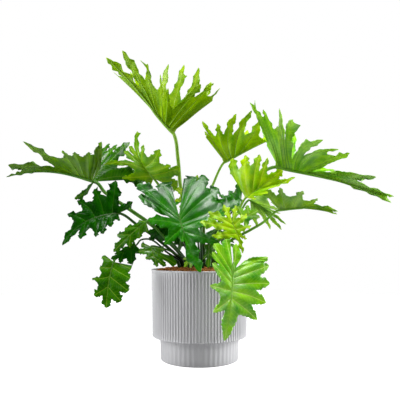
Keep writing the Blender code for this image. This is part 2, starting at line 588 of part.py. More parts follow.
def blade(name, frond):
    bm = bmesh.new()
    sides = {}
    for side in ("left", "right"):
        ribs = ribs_of(frond, side)
        sides[side] = (ribs, sinus_reach(frond, side, ribs))
    for side, opposite in (("left", "right"), ("right", "left")):
        for k in range(len(frond[side])):
            lobe(bm, frond, side, *sides[side], k, sides[opposite][0][0])
    end_lobe(bm, frond, sides)
    bmesh.ops.remove_doubles(bm, verts=bm.verts, dist=0.00002)
    bmesh.ops.dissolve_degenerate(bm, edges=bm.edges, dist=0.00002)
    bmesh.ops.recalc_face_normals(bm, faces=bm.faces)
    bmesh.ops.triangulate(bm, faces=bm.faces, quad_method="SHORT_EDGE")
    obj = object_from(bm, name, material(name + "_green", (0.10, 0.30, 0.03), 0.4))
    thick = obj.modifiers.new("thickness", "SOLIDIFY")
    thick.thickness = BLADE
    thick.offset = 0.0
    apply_modifier(obj, thick)
    return obj


def stem_path(frond):
    """Points down the middle of the stem, from the bottom of its hole to a little way along the midrib."""
    x, y = frond["root"]
    base = Vector((x / 1000.0, y / 1000.0, SOIL_TOP))
    middle = midrib(frond)
    length = (middle[2] - middle[0]).length
    knots = [base + Vector((0, 0, 0.006)), *[seen(*point) for point in frond["via"]], middle[0]]
    points = [base - Vector((0, 0, HOLE_DEPTH - 0.002)), base + Vector((0, 0, 0.001))]
    before = [base - Vector((0, 0, 0.02)), *knots, bezier(*middle, 0.2)]
    for i in range(1, len(before) - 2):
        p0, p1, p2, p3 = before[i - 1:i + 3]
        steps = max(2, min(3, round((p2 - p1).length / 0.035)))
        reach = (p2 - p1).length
        m1 = (p2 - p0).normalized() * reach
        m2 = (p3 - p1).normalized() * reach
        for j in range(1, steps + 1):
            t = j / steps
            points.append(
                p1 * (2 * t ** 3 - 3 * t ** 2 + 1) + m1 * (t ** 3 - 2 * t ** 2 + t)
                + p2 * (3 * t ** 2 - 2 * t ** 3) + m2 * (t ** 3 - t ** 2)
            )
    points.append(bezier(*middle, min(0.3, 0.014 / length)))
    return points


def stem(name, frond):
    points = stem_path(frond)
    thick, thin = stem_radii(frond)
    whole = sum((b - a).length for a, b in zip(points, points[1:]))
    bm = bmesh.new()
    rings, gone, across = [], 0.0, Vector((1.0, 0.0, 0.0))
    for i, point in enumerate(points):
        ahead = points[min(i + 1, len(points) - 1)]
        behind = points[max(i - 1, 0)]
        gone += (point - behind).length
        along = (ahead - behind).normalized()
        across = (across - along * across.dot(along)).normalized()
        other = along.cross(across)
        radius = thick + (thin - thick) * gone / whole
        if i == len(points) - 1:
            radius *= 0.55
        rings.append([
            bm.verts.new(point + (across * math.cos(a) + other * math.sin(a)) * radius)
            for a in (2 * math.pi * s / STEM_SIDES for s in range(STEM_SIDES))
        ])
    for low, high in zip(rings, rings[1:]):
        bridge(bm, low, high)
    bm.faces.new(list(reversed(rings[0])))
    bm.faces.new(rings[-1])
    bmesh.ops.recalc_face_normals(bm, faces=bm.faces)
    bmesh.ops.triangulate(bm, faces=bm.faces)
    return object_from(bm, name + "_stem", None)


def frond_solid(name, frond):
    obj = blade(name, frond)
    combine(obj, [stem(name, frond)], "UNION", "MANIFOLD")
    return obj


def main():
    remove_scene_objects()
    pot()
    soil()
    for name, frond in FRONDS.items():
        frond_solid(name, frond)


if __name__ == "__main__":
    main()
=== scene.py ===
"""Potted lacy tree philodendron: pot, soil, leaf blades and stems. Metres, +Z up, front along -Y."""

import math
import random
from functools import partial

import bmesh
import bpy
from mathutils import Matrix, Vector, noise


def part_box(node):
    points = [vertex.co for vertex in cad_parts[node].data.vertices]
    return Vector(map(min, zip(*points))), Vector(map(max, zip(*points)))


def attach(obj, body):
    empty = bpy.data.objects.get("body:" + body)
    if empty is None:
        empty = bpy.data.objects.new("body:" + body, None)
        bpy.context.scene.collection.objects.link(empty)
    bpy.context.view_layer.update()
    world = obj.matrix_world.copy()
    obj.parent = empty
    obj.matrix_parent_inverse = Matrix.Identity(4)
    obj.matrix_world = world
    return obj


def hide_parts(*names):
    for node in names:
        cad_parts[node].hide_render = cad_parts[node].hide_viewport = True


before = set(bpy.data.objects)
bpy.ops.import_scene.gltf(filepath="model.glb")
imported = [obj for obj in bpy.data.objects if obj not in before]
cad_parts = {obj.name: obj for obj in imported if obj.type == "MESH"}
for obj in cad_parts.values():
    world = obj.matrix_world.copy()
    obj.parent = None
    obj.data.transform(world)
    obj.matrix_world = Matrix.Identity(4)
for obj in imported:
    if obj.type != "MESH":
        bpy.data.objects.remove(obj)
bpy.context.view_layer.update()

# Pot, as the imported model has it
POT_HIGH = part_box("pot")[1]
POT_HEIGHT = POT_HIGH.z
RIM_RADIUS = POT_HIGH.x
RIM_HEIGHT = 0.004
RIM_ROUND = 0.0012
RIM_STEP = 0.0008
DRUM_RADIUS = RIM_RADIUS - 0.0028
DRUM_CORNER = 0.0026
DRUM_FLUTES = 100
DRUM_FLUTE_DEPTH = 0.0019
FOOT_HEIGHT = 0.049
FOOT_TOP_RADIUS = 0.0842
FOOT_RADIUS = 0.0822
FOOT_CORNER = 0.003
FOOT_RING = 0.008
FOOT_FLUTES = 50
FOOT_FLUTE_DEPTH = 0.0005
FLUTE_FADE = 0.0015
FLUTE_RISE = 0.003
BASE_RECESS = 0.002
POT_WALL = 0.005
POT_FLOOR = 0.008
POT_LEDGE = FOOT_HEIGHT + POT_WALL
POT_STEPS = 800

# Soil
SOIL_EDGE = 0.1862
SOIL_TOP = 0.1945
SOIL_GAP = 0.0007
SOIL_SIDES = 96
SOIL_RINGS = 34
HOLE_DEPTH = 0.028
CRUMBS = 520
CRUMB_SEED = 21
CRUMB_RADII = (0.0008, 0.0026)
FIBRES = 150
FIBRE_SEED = 34
FIBRE_ROWS = 6
FIBRE_SIDES = 5
FIBRE_LENGTHS = (0.008, 0.018)
FIBRE_RADIUS = 0.00028

# Leaf blades and stems
BLADE = 0.0006
COLUMNS = 5
WEB_ROWS = 7
FREE_ROWS = 26
TOOTH_PITCH = 0.0105
TOOTH_DEPTH = 0.17
RUFFLE_PITCH = 0.021
RUFFLE = 0.2
PLEAT = 0.2
STEM_RADII = (0.0018, 0.0048)
STEM_SIDES = 12
STEM_ROW = 0.006
MIDRIB_ROWS = 24
RIB_ROWS = 16
RIB_SIDES = 8
VEIN_PITCH = 0.0065
NET_PITCH = 0.0025
WAX_PITCH = 0.0625
TRANSLUCENCE = 0.38

# Meshes
WELD = 0.000001
BLADE_WELD = 0.00002
SHARP = math.radians(48)

# The front view that lobe tips are set in: its width in units, its distance in the same units, eye and lift
FRAME = 400.0
REACH = 490.0
EYE = Vector((0.001, -1.07, 0.2385))
LIFT = math.radians(5.36)
SENSOR = 36.0
UP = Vector((0.0, 0.0, 1.0))

# Points are (across, down, mm behind the pot's axis) in that view. Roots, arches and sweeps are in mm
# notch: where gaps between lobes begin, wide: lobe widths, bend: lobe curves, fork: side points
# broad: half width of all lobes, last: where the last side rib leaves, sinus: notch where none is listed
# bow: bulge of the ribs, blunt: fullness of the ends, paddle: narrowing at the base, waist: side waves
# PLAIN is what a frond has unless its own entry says otherwise
PLAIN = dict(broad=0.2, last=0.4, sinus=0.5, bow=0.04, blunt=2.6, paddle=0.0, waist=0.26, ruffle=1.0,
             sweep=(0, 0, 0), notch={}, bend={}, wide={}, fork={})
FRONDS = {}
FRONDS["frond_crest"] = dict(
    skin="crown", joint=(173.8, 134, 5), tip=(106, 57.5, -5), arch=(0, 0, 0), root=(-6, 12),
    via=[(181, 190, 12), (178, 159, 8)], sweep=(6, 0, 8),
    left=[(220, 88, -45), (213.5, 83, -60), (200.5, 84, -75), (168, 88, -85), (160.5, 74.5, -70),
          (147.5, 63.5, -55), (122, 50.5, -32)],
    right=[(211, 82, 45), (198.5, 67.5, 70), (184, 64.5, 85), (168.5, 64, 95), (146, 74, 75),
           (130, 72, 50), (113.5, 72.2, 18)],
    notch=dict(left=[0.78, 0.72, 0.46, 0.5, 0.62, 0.7, 0.4], right=[0.58, 0.42, 0.46, 0.42, 0.6, 0.7, 0.8]),
    bend=dict(left={0: -0.12, 4: 0.05, 5: 0.16, 6: -0.02},
              right={0: -0.14, 1: -0.14, 2: -0.02, 3: 0.085, 6: 0.075}),
    wide=dict(left={0: 0.3, 2: 1.6, 5: 1.3, 6: 1.8, 7: 1.6},
              right={0: 1.3, 1: 1.1, 3: 0.85, 5: 0.7, 6: 0.4}),
    fork=dict(left={5: (0.78, 0.16), 2: (0.7, -0.04)}, right={2: (0.6, -0.05)}),
    paddle=0.35, broad=0.055, last=0.26)
FRONDS["frond_upper_right"] = dict(
    skin="lime", joint=(223.5, 163, 20), tip=(272, 139, 10), arch=(0, 0, 4), root=(10, 16),
    via=[(205, 205, 18), (213.2, 184, 20)],
    left=[(214, 138, 50), (224, 134, 70), (238, 130, 80), (248, 130, 75), (256, 132, 60), (268, 136, 35)],
    right=[(204.5, 131.5, -5), (202.5, 121, -20), (218, 123.5, -30), (236.5, 113.8, -30),
           (252.3, 110.5, -20), (261, 119, -5)],
    notch=dict(left=[0.6] * 6, right=[0.85, 0.7, 0.66, 0.5, 0.55, 0.78]),
    bend=dict(right={0: 0.05, 1: -0.08, 2: -0.12, 3: -0.27, 4: -0.18, 5: 0.1}),
    wide=dict(right={0: 0.6, 1: 0.9, 2: 0.9, 3: 1.2, 4: 1.05, 5: 1.3}, left={4: 1.2, 5: 1.2, 6: 0.7}),
    paddle=0.2, broad=0.085, last=0.3)
FRONDS["frond_far_right"] = dict(
    skin="fresh", joint=(275.4, 167, 10), tip=(394, 196.5, -18), arch=(0, 0, 7), root=(24, 8),
    via=[(222, 215, 10), (245, 182, 10), (260, 173.5, 10)], sweep=(0, 0, 1),
    left=[(262, 130, 68), (272, 134, 76), (281, 130, 80), (295, 134, 85), (303, 150, 85),
          (318, 160, 75), (335, 170, 60), (352, 180, 30), (391.5, 203, -15)],
    right=[(250, 102.5, -25), (263.5, 109.5, -50), (277.5, 126, -66), (279.5, 108.3, -72),
           (293, 119.5, -76), (323.5, 140, -75), (339, 149.5, -65), (350, 153.2, -50), (376.5, 177, -34)],
    notch=dict(left=[0.5] * 7 + [0.4, 0.9], right=[0.86, 0.85, 0.6, 0.56, 0.24, 0.4, 0.7, 0.14, 0.74]),
    bend=dict(right={0: 0.12, 4: -0.2, 5: -0.34, 6: -0.42, 7: -0.02, 8: 0.02}, left={8: 0.07}),
    wide=dict(right={0: 0.75, 3: 0.6, 4: 2.2, 5: 1.6, 7: 1.4, 8: 1.05}, left={8: 0.35, 9: 0.6}),
    fork=dict(right={0: (0.6, 0.13), 4: (0.84, 0.13), 5: (0.6, -0.08), 7: (0.86, 0.05)},
              left={8: (0.84, -0.03)}),
    broad=0.065, last=0.28, ruffle=0.6)
FRONDS["frond_far_left"] = dict(
    skin="mature", joint=(96.8, 182.7, -20), tip=(6, 177, -30), arch=(0, 0, 34), root=(-27, -2),
    via=[(160, 232, -12), (129, 209, -18), (105, 192.5, -20)], sweep=(0, 0, 2),
    left=[(74.5, 198, -60), (101.5, 141.5, -75), (88.5, 152, -90), (74.5, 152, -95), (62, 150.5, -90),
          (23, 141.5, -70), (8, 165, -48)],
    right=[(152, 180, 22), (129.6, 142, 35), (117, 144.5, 55), (109, 143.5, 65), (86, 158, 65),
           (56, 161, 45), (30, 167, 10)],
    notch=dict(left=[0.3, 0.82, 0.8, 0.8, 0.7, 0.34, 0.8], right=[0.5, 0.7, 0.75, 0.6, 0.6, 0.6, 0.6]),
    bend=dict(left={0: -0.24, 1: -0.04, 5: 0.02}, right={0: 0.16}),
    wide=dict(left={0: 2.6, 1: 1.3, 4: 1.1, 5: 0.95, 6: 1.2, 7: 0.32},
              right={0: 2.0, 1: 1.3, 5: 0.5, 6: 0.4}),
    broad=0.08, last=0.28)
FRONDS["frond_left_upright"] = dict(
    skin="spring", joint=(155, 180, -15), tip=(137.5, 130.8, -10), arch=(-34, -6, 0), root=(-17, 5),
    via=[(178, 225, -3), (165, 195, -9)],
    left=[(146, 190, 5), (122, 178, -12), (104, 164.5, -20), (124, 151, -10), (129, 146, -8)],
    right=[(178, 186, -20), (180, 168, -32), (170.5, 165, -45), (159, 149, -50), (143.5, 144.5, -45)],
    notch=dict(left=[0.6, 0.5, 0.5, 0.6, 0.6], right=[0.8, 0.8, 0.7, 0.6, 0.32]),
    bend=dict(left={2: 0.22}, right={2: -0.05, 3: -0.2}),
    wide=dict(left={2: 0.6, 3: 1.4, 4: 1.3, 5: 0.75}, right={0: 2.4, 1: 2.2, 2: 1.2, 3: 1.6, 4: 1.3}),
    fork=dict(left={5: (0.84, -0.12)}),
    paddle=0.2, broad=0.12, bow=0.06, last=0.35)
FRONDS["frond_left_dark"] = dict(
    skin="deep", joint=(120.5, 213.5, -45), tip=(62.5, 245.5, -95), arch=(-26, -6, 30), root=(-34, -14),
    via=[(158, 239.5, -35), (137.3, 225, -40)],
    left=[(119, 221, -52), (111, 227, -62), (103, 234, -70), (95.5, 237, -78), (80, 239, -86)],
    right=[(132.5, 201.5, -48), (115.5, 180.5, -42), (94, 189, -55), (77, 201, -68), (67.2, 214.5, -80)],
    notch=dict(left=[0.8, 0.8, 0.8, 0.5, 0.6], right=[0.5, 0.66, 0.7, 0.62, 0.74]),
    wide=dict(left={3: 0.8, 4: 1.3, 5: 0.8}, right={0: 1.3, 1: 1.2, 4: 1.2}),
    bend=dict(right={2: -0.1, 3: -0.24, 4: -0.2}, left={3: -0.1, 4: -0.04}),
    fork=dict(right={1: (0.6, 0.12), 2: (0.8, -0.12)}),
    broad=0.16, last=0.5)
FRONDS["frond_left_bright"] = dict(
    skin="mature", joint=(147, 221, -60), tip=(113.6, 252, -85), arch=(0, -5, 6), root=(-26, -24),
    via=[(168, 242, -50)],
    left=[(147, 232, -62), (139, 238.5, -70), (129.5, 247.5, -78)],
    right=[(138.5, 221, -62), (124.5, 229, -70), (117, 235, -78)],
    wide=dict(left={0: 1.2, 1: 1.3, 2: 1.15}, right={1: 1.2, 2: 1.3}),
    sinus=0.82, last=0.5)
FRONDS["frond_left_low"] = dict(
    skin="deep", joint=(136.5, 245, -60), tip=(111, 259, -76), arch=(0, -2, 4), root=(-37, -23),
    via=[(166, 251.5, -43), (152, 240, -55), (141, 239.8, -57)],
    left=[(140.5, 252.5, -61), (131.5, 264.5, -68), (120, 263, -75)],
    right=[(133.5, 241.5, -60), (122, 248.5, -66), (114.5, 254, -72)],
    sinus=0.74, wide=dict(left={0: 1.7, 1: 1.5}), bow=0.03, last=0.5)
FRONDS["frond_left_hanging"] = dict(
    skin="mature", joint=(114, 260.5, -67), tip=(106.5, 308, -95), arch=(-6, -8, 0), root=(-42, -30),
    via=[(166, 256.5, -51), (150, 253.5, -48), (134, 252.5, -54), (122, 255.5, -60)],
    left=[(131, 269, -80), (130, 278.5, -90), (128.5, 291, -95), (121, 301.5, -97)],
    right=[(102, 256.5, -66), (99.5, 268, -78), (92, 278.5, -86), (94, 295.5, -92)],
    notch=dict(left=[0.92, 0.86, 0.78, 0.7], right=[0.85, 0.76, 0.7, 0.72]),
    bend=dict(right={2: 0.12}),
    wide=dict(left={0: 1.2, 2: 1.1, 3: 1.3, 4: 1.35}, right={2: 0.55, 3: 1.4}),
    broad=0.21, last=0.56)
FRONDS["frond_rim_left"] = dict(
    skin="mature", joint=(151, 246, -64), tip=(157, 267, -78), arch=(0, -4, 0), root=(-22, -33),
    via=[(172, 252, -50), (160, 247.5, -60)],
    left=[(164, 250, -64), (176.5, 264.5, -68), (166, 266, -74)],
    right=[(141, 244.5, -66), (138.5, 251.5, -70), (145.5, 258.5, -78)],
    wide=dict(left={0: 1.5, 1: 1.4}, right={0: 1.5, 1: 1.4, 2: 1.2}),
    broad=0.22, sinus=0.74, last=0.5)
FRONDS["frond_inner_left"] = dict(
    skin="deep", joint=(172, 227, -42), tip=(147.6, 233, -50), arch=(0, 0, 4), root=(-16, -14),
    via=[(184, 245, -28)],
    left=[(178, 245, -41), (161, 242, -45), (149.5, 240.5, -48)],
    right=[(167, 219, -40), (158, 222, -42), (151, 225, -46)],
    sinus=0.7, last=0.5)
FRONDS["frond_centre"] = dict(
    skin="dark", joint=(178.7, 214.8, -72), tip=(201, 272.5, -109), arch=(-8, -14, 0), root=(-2, -10),
    via=[(188, 240, -48), (184, 222, -58)],
    left=[(194, 176.5, -14), (205, 175.5, -12), (219, 188.5, -24), (241, 199.5, -36), (227, 213.5, -66),
          (219.5, 243, -92)],
    right=[(161, 183, -33), (138, 184, -36), (138, 196.5, -42), (147.5, 219.8, -72),
           (164.5, 244.5, -91), (182, 242, -101)],
    notch=dict(left=[0.9, 0.82, 0.74, 0.5, 0.42, 0.5], right=[0.85, 0.86, 0.36, 0.6, 0.85, 0.85]),
    bend=dict(left={2: -0.04, 3: 0.05}, right={0: -0.05, 2: -0.05, 3: -0.04}),
    wide=dict(left={0: 0.75, 1: 0.75, 2: 0.7, 3: 0.62, 4: 0.8, 5: 0.75, 6: 0.8},
              right={0: 1.4, 1: 0.8, 2: 0.62, 3: 1.1, 4: 1.2}),
    bow=0.05, last=0.3)
FRONDS["frond_young_frilly"] = dict(
    skin="lime", joint=(232, 222, -92), tip=(243, 253.5, -100), arch=(4, -6, 0), root=(14, -22),
    via=[(214, 245, -60), (224, 232, -78)],
    left=[(236, 205.5, -84), (247, 214, -88), (251.5, 226, -94), (247, 239, -98)],
    right=[(223.5, 204.7, -82), (208, 212, -88), (200, 222, -96), (212, 236, -104)],
    wide=dict(left={4: 0.75}),
    fork=dict(left={1: (0.5, 0.12), 2: (0.5, -0.12)},
              right={1: (0.5, 0.14), 2: (0.55, -0.14), 3: (0.5, 0.1)}),
    broad=0.17, sinus=0.4, bow=0.1, ruffle=2.4, waist=0.46)
FRONDS["frond_right_cupped"] = dict(
    skin="lime", joint=(245, 198.5, -40), tip=(282.5, 170, -58), arch=(0, -4, -2), root=(20, -6),
    via=[(222, 235, -28), (238, 212, -36)],
    left=[(232.5, 158, -15), (246, 155, -42), (260, 154.5, -50), (267.8, 157.5, -54)],
    right=[(256, 199, -55), (268, 193, -66), (280, 185.5, -66), (295.5, 176.8, -52)],
    notch=dict(left=[0.72, 0.74, 0.6, 0.6], right=[0.7, 0.75, 0.75, 0.76]),
    bend=dict(left={0: -0.14, 1: -0.1, 2: -0.08}, right={3: -0.12}),
    wide=dict(left={0: 1.4, 1: 1.15, 2: 1.05, 3: 0.9, 4: 1.5}, right={3: 0.6}),
    paddle=0.1, broad=0.11, bow=0.06, last=0.34)
FRONDS["frond_right_low"] = dict(
    skin="fresh", joint=(277.8, 210.5, -20), tip=(338, 211.5, -34), arch=(0, 0, 12), root=(34, -2),
    via=[(228, 243, -16), (250, 230.2, -20), (263, 222.5, -21)], sweep=(0, 0, 7),
    left=[(272, 200, 10), (286, 196, 22), (302, 203, 10), (337, 214.3, -32)],
    right=[(266, 189.5, -32), (280, 187.5, -45), (303.5, 191, -55), (318, 198.5, -45)],
    notch=dict(left=[0.66, 0.66, 0.5, 0.85], right=[0.66, 0.6, 0.6, 0.7]),
    bend=dict(right={2: -0.12}, left={3: 0.06}),
    wide=dict(right={0: 1.8, 2: 1.3}, left={3: 0.35, 4: 0.9}),
    broad=0.12)
FRONDS["frond_right_pleated"] = dict(
    skin="fresh", joint=(249, 200, 5), tip=(286, 224.5, 0), arch=(0, 0, 8), root=(26, 20),
    via=[(220, 230, 18), (240, 212, 8)],
    left=[(257.5, 228, -12), (270.5, 229.5, -12), (281.8, 230, -6)],
    right=[(267, 190, 25), (278, 209, 20), (280.5, 213.5, 14)],
    bend=dict(left={1: 0.1, 2: 0.05}),
    notch=dict(left=[0.4, 0.4, 0.4], right=[0.85, 0.6, 0.5]),
    wide=dict(right={0: 2.8, 1: 1.2, 2: 0.8}, left={3: 0.8}),
    broad=0.075, bow=0.03, last=0.3)
FRONDS["frond_inner_right_small"] = dict(
    skin="fresh", joint=(243, 219, -60), tip=(258, 210.5, -72), arch=(0, 0, 2), root=(30, -14),
    via=[(226, 242, -42)],
    left=[(238, 206, -58), (247, 205, -64)],
    right=[(247, 227, -64), (260, 217.5, -70)],
    wide=dict(right={0: 1.3}),
    broad=0.24, sinus=0.66, bow=0.03)
FRONDS["frond_inner_right"] = dict(
    skin="dark", joint=(242, 200, -8), tip=(213, 203, -30), arch=(0, 0, 4), root=(8, 2),
    via=[(214, 235, 0), (236, 207, 0)],
    left=[(239, 209, -14), (229, 212, -22), (220, 209, -28)],
    right=[(237, 183.5, -2), (229, 190.5, -8), (219, 194.5, -18)],
    sinus=0.62, last=0.45)
FRONDS["frond_front_hanging"] = dict(
    skin="fresh", joint=(233, 268.5, -134), tip=(224.5, 341, -168), arch=(6, -16, 0), root=(22, -34),
    via=[(231, 245, -92), (236, 256, -118)],
    left=[(236, 243.5, -114), (268, 257, -126), (269, 265.8, -132), (269.8, 283.5, -142),
          (266, 303, -152), (257, 320, -158)],
    right=[(226, 239, -112), (214, 243.5, -118), (212, 252, -126), (212, 263, -138), (210, 285.5, -150),
           (213, 312.5, -160)],
    notch=dict(left=[0.2, 0.88, 0.76, 0.68, 0.68, 0.62], right=[0.9, 0.78, 0.7, 0.58, 0.56, 0.64]),
    bend=dict(left={0: 0.06, 1: -0.08, 3: -0.03, 4: -0.08, 5: -0.05}),
    wide=dict(left={0: 1.5, 1: 0.85, 2: 0.8}, right={0: 1.1, 1: 0.9, 2: 0.8, 3: 0.9}),
    broad=0.19, bow=0.05, last=0.42, blunt=1.6, waist=0.06)
FRONDS["frond_rim_centre"] = dict(
    skin="mature", joint=(209, 243, -70), tip=(208, 268, -80), arch=(0, -3, 0), root=(6, -37),
    via=[(205, 256, -55)],
    left=[(214, 245, -70), (215, 258, -74)],
    right=[(204, 246, -70), (203, 259, -74)],
    broad=0.24, sinus=0.7, bow=0.03)
FRONDS["frond_rim_lime"] = dict(
    skin="fresh", joint=(194, 252, -70), tip=(184, 267, -80), arch=(0, -3, 0), root=(-4, -26),
    via=[(198, 262, -45)],
    left=[(196, 262, -72), (191, 268, -76)],
    right=[(187, 250, -72), (183, 259, -76)],
    sinus=0.6, bow=0.03)
FRONDS["frond_inner_back"] = dict(
    skin="lime", joint=(189, 192, -10), tip=(180, 211, -24), arch=(0, -4, 0), root=(0, 24),
    via=[(198, 240, 14), (196, 205, 8)],
    left=[(198, 175, -6), (202, 188, -12), (192, 204, -20)],
    right=[(187, 178, -4), (174.5, 188, -10), (174, 201, -18)],
    broad=0.18, sinus=0.55, bow=0.03, last=0.35)
FRONDS["frond_back_left"] = dict(
    skin="deep", joint=(182, 236, 110), tip=(180, 250, 215), arch=(0, 0, 26), root=(-20, 26),
    via=[(187, 242, 64)],
    left=[(169, 243, 108), (165, 240, 140), (166, 243, 175), (172, 248, 200)],
    right=[(194, 243, 108), (200, 240, 140), (198, 243, 178), (190, 249, 203)],
    broad=0.12, sinus=0.55, bow=0.08, last=0.45)
FRONDS["frond_back_middle"] = dict(
    skin="dark", joint=(203, 200, 150), tip=(206, 206, 290), arch=(0, 0, 30), root=(4, 38),
    via=[(201, 216, 90)],
    left=[(180, 214, 140), (166, 206, 170), (166, 208, 220), (182, 209, 260)],
    right=[(226, 214, 140), (240, 208, 170), (242, 210, 220), (228, 209, 262)],
    broad=0.12, sinus=0.55, bow=0.08, last=0.45)
FRONDS["frond_back_right"] = dict(
    skin="deep", joint=(214, 230, 100), tip=(224, 245, 205), arch=(0, 0, 24), root=(22, 33),
    via=[(209, 238, 60)],
    left=[(202, 238, 106), (200, 236, 135), (206, 240, 170), (214, 245, 192)],
    right=[(230, 243, 96), (236, 240, 120), (238, 240, 150), (234, 243, 180)],
    broad=0.12, sinus=0.55, bow=0.08, last=0.45)

# Each leaf skin: upper face, its deeper patches and painted pleat shade, lower face, its deeper patches and
# painted pleat shade, ribs, roughness, gloss
SKINS = {
    "crown": ("#8cac00", "#508000", "#8cb000", "#4c7c00", "#c4d834", 0.3, 0.06),
    "lime": ("#b4d800", "#60a400", "#b0d400", "#64a400", "#dcec44", 0.3, 0.2),
    "spring": ("#90c000", "#489000", "#90bc00", "#508c00", "#c4dc38", 0.3, 0.16),
    "fresh": ("#90cc00", "#349000", "#a0cc1c", "#549408", "#d4e874", 0.34, 0.64),
    "mature": ("#408000", "#145000", "#709c00", "#3c7000", "#88ac30", 0.24, 0.24),
    "dark": ("#2c8800", "#0c5400", "#60940a", "#386400", "#60a430", 0.28, 0.36),
    # deep: the darkest copy, for the leaves on the left, inside and at the back of the clump: partly the
    # older leaves' own dark green, partly painted shade for leaves that face away from the light
    "deep": ("#186000", "#043800", "#3c700a", "#204800", "#3c7414", 0.2, 0.16),
}

# Each stalk: its name, its green, its pale streaks and the painted shade at its foot
STALKS = {
    "crown": ("tall_stalk", "#5c8a10", "#8cb040", "#204409"),
    "lime": ("young_stalk", "#5c8f12", "#86ac38", "#22480c"),
    "spring": ("spring_stalk", "#54880f", "#80a834", "#1c420b"),
    "fresh": ("green_stalk", "#4c8414", "#78a438", "#143a0a"),
    "mature": ("mature_stalk", "#2f6410", "#5c882c", "#0c2c08"),
    "dark": ("dark_stalk", "#24540c", "#4c7828", "#0a2406"),
    "deep": ("deep_green_stalk", "#183c08", "#345a1c", "#071a04"),
}


# Materials
SMOOTH = {"interpolation_type": "SMOOTHSTEP"}


def linear(code):
    """An sRGB hex colour as linear RGBA."""
    made = []
    for i in (1, 3, 5):
        c = int(code[i:i + 2], 16) / 255.0
        made.append(c / 12.92 if c <= 0.04045 else ((c + 0.055) / 1.055) ** 2.4)
    return (*made, 1.0)


def feed(node, inputs):
    """Gives a node's inputs a value, a hex colour, an output, or another node's first output."""
    for name, value in inputs.items():
        if isinstance(value, bpy.types.Node):
            value = value.outputs[0]
        if isinstance(value, bpy.types.NodeSocket):
            node.id_data.links.new(value, node.inputs[name])
        else:
            node.inputs[name].default_value = linear(value) if isinstance(value, str) else value
    return node


def add(tree, kind, inputs=None, **settings):
    """A node with its settings and links."""
    made = tree.nodes.new("ShaderNode" + kind)
    for name, value in settings.items():
        setattr(made, name, value)
    return feed(made, inputs or {})


def new_material(name):
    """A material, what adds a node to it, its shader and its output."""
    made = bpy.data.materials.new(name)
    made.use_nodes = True
    tree = made.node_tree
    return made, partial(add, tree), tree.nodes["Principled BSDF"], tree.nodes["Material Output"]


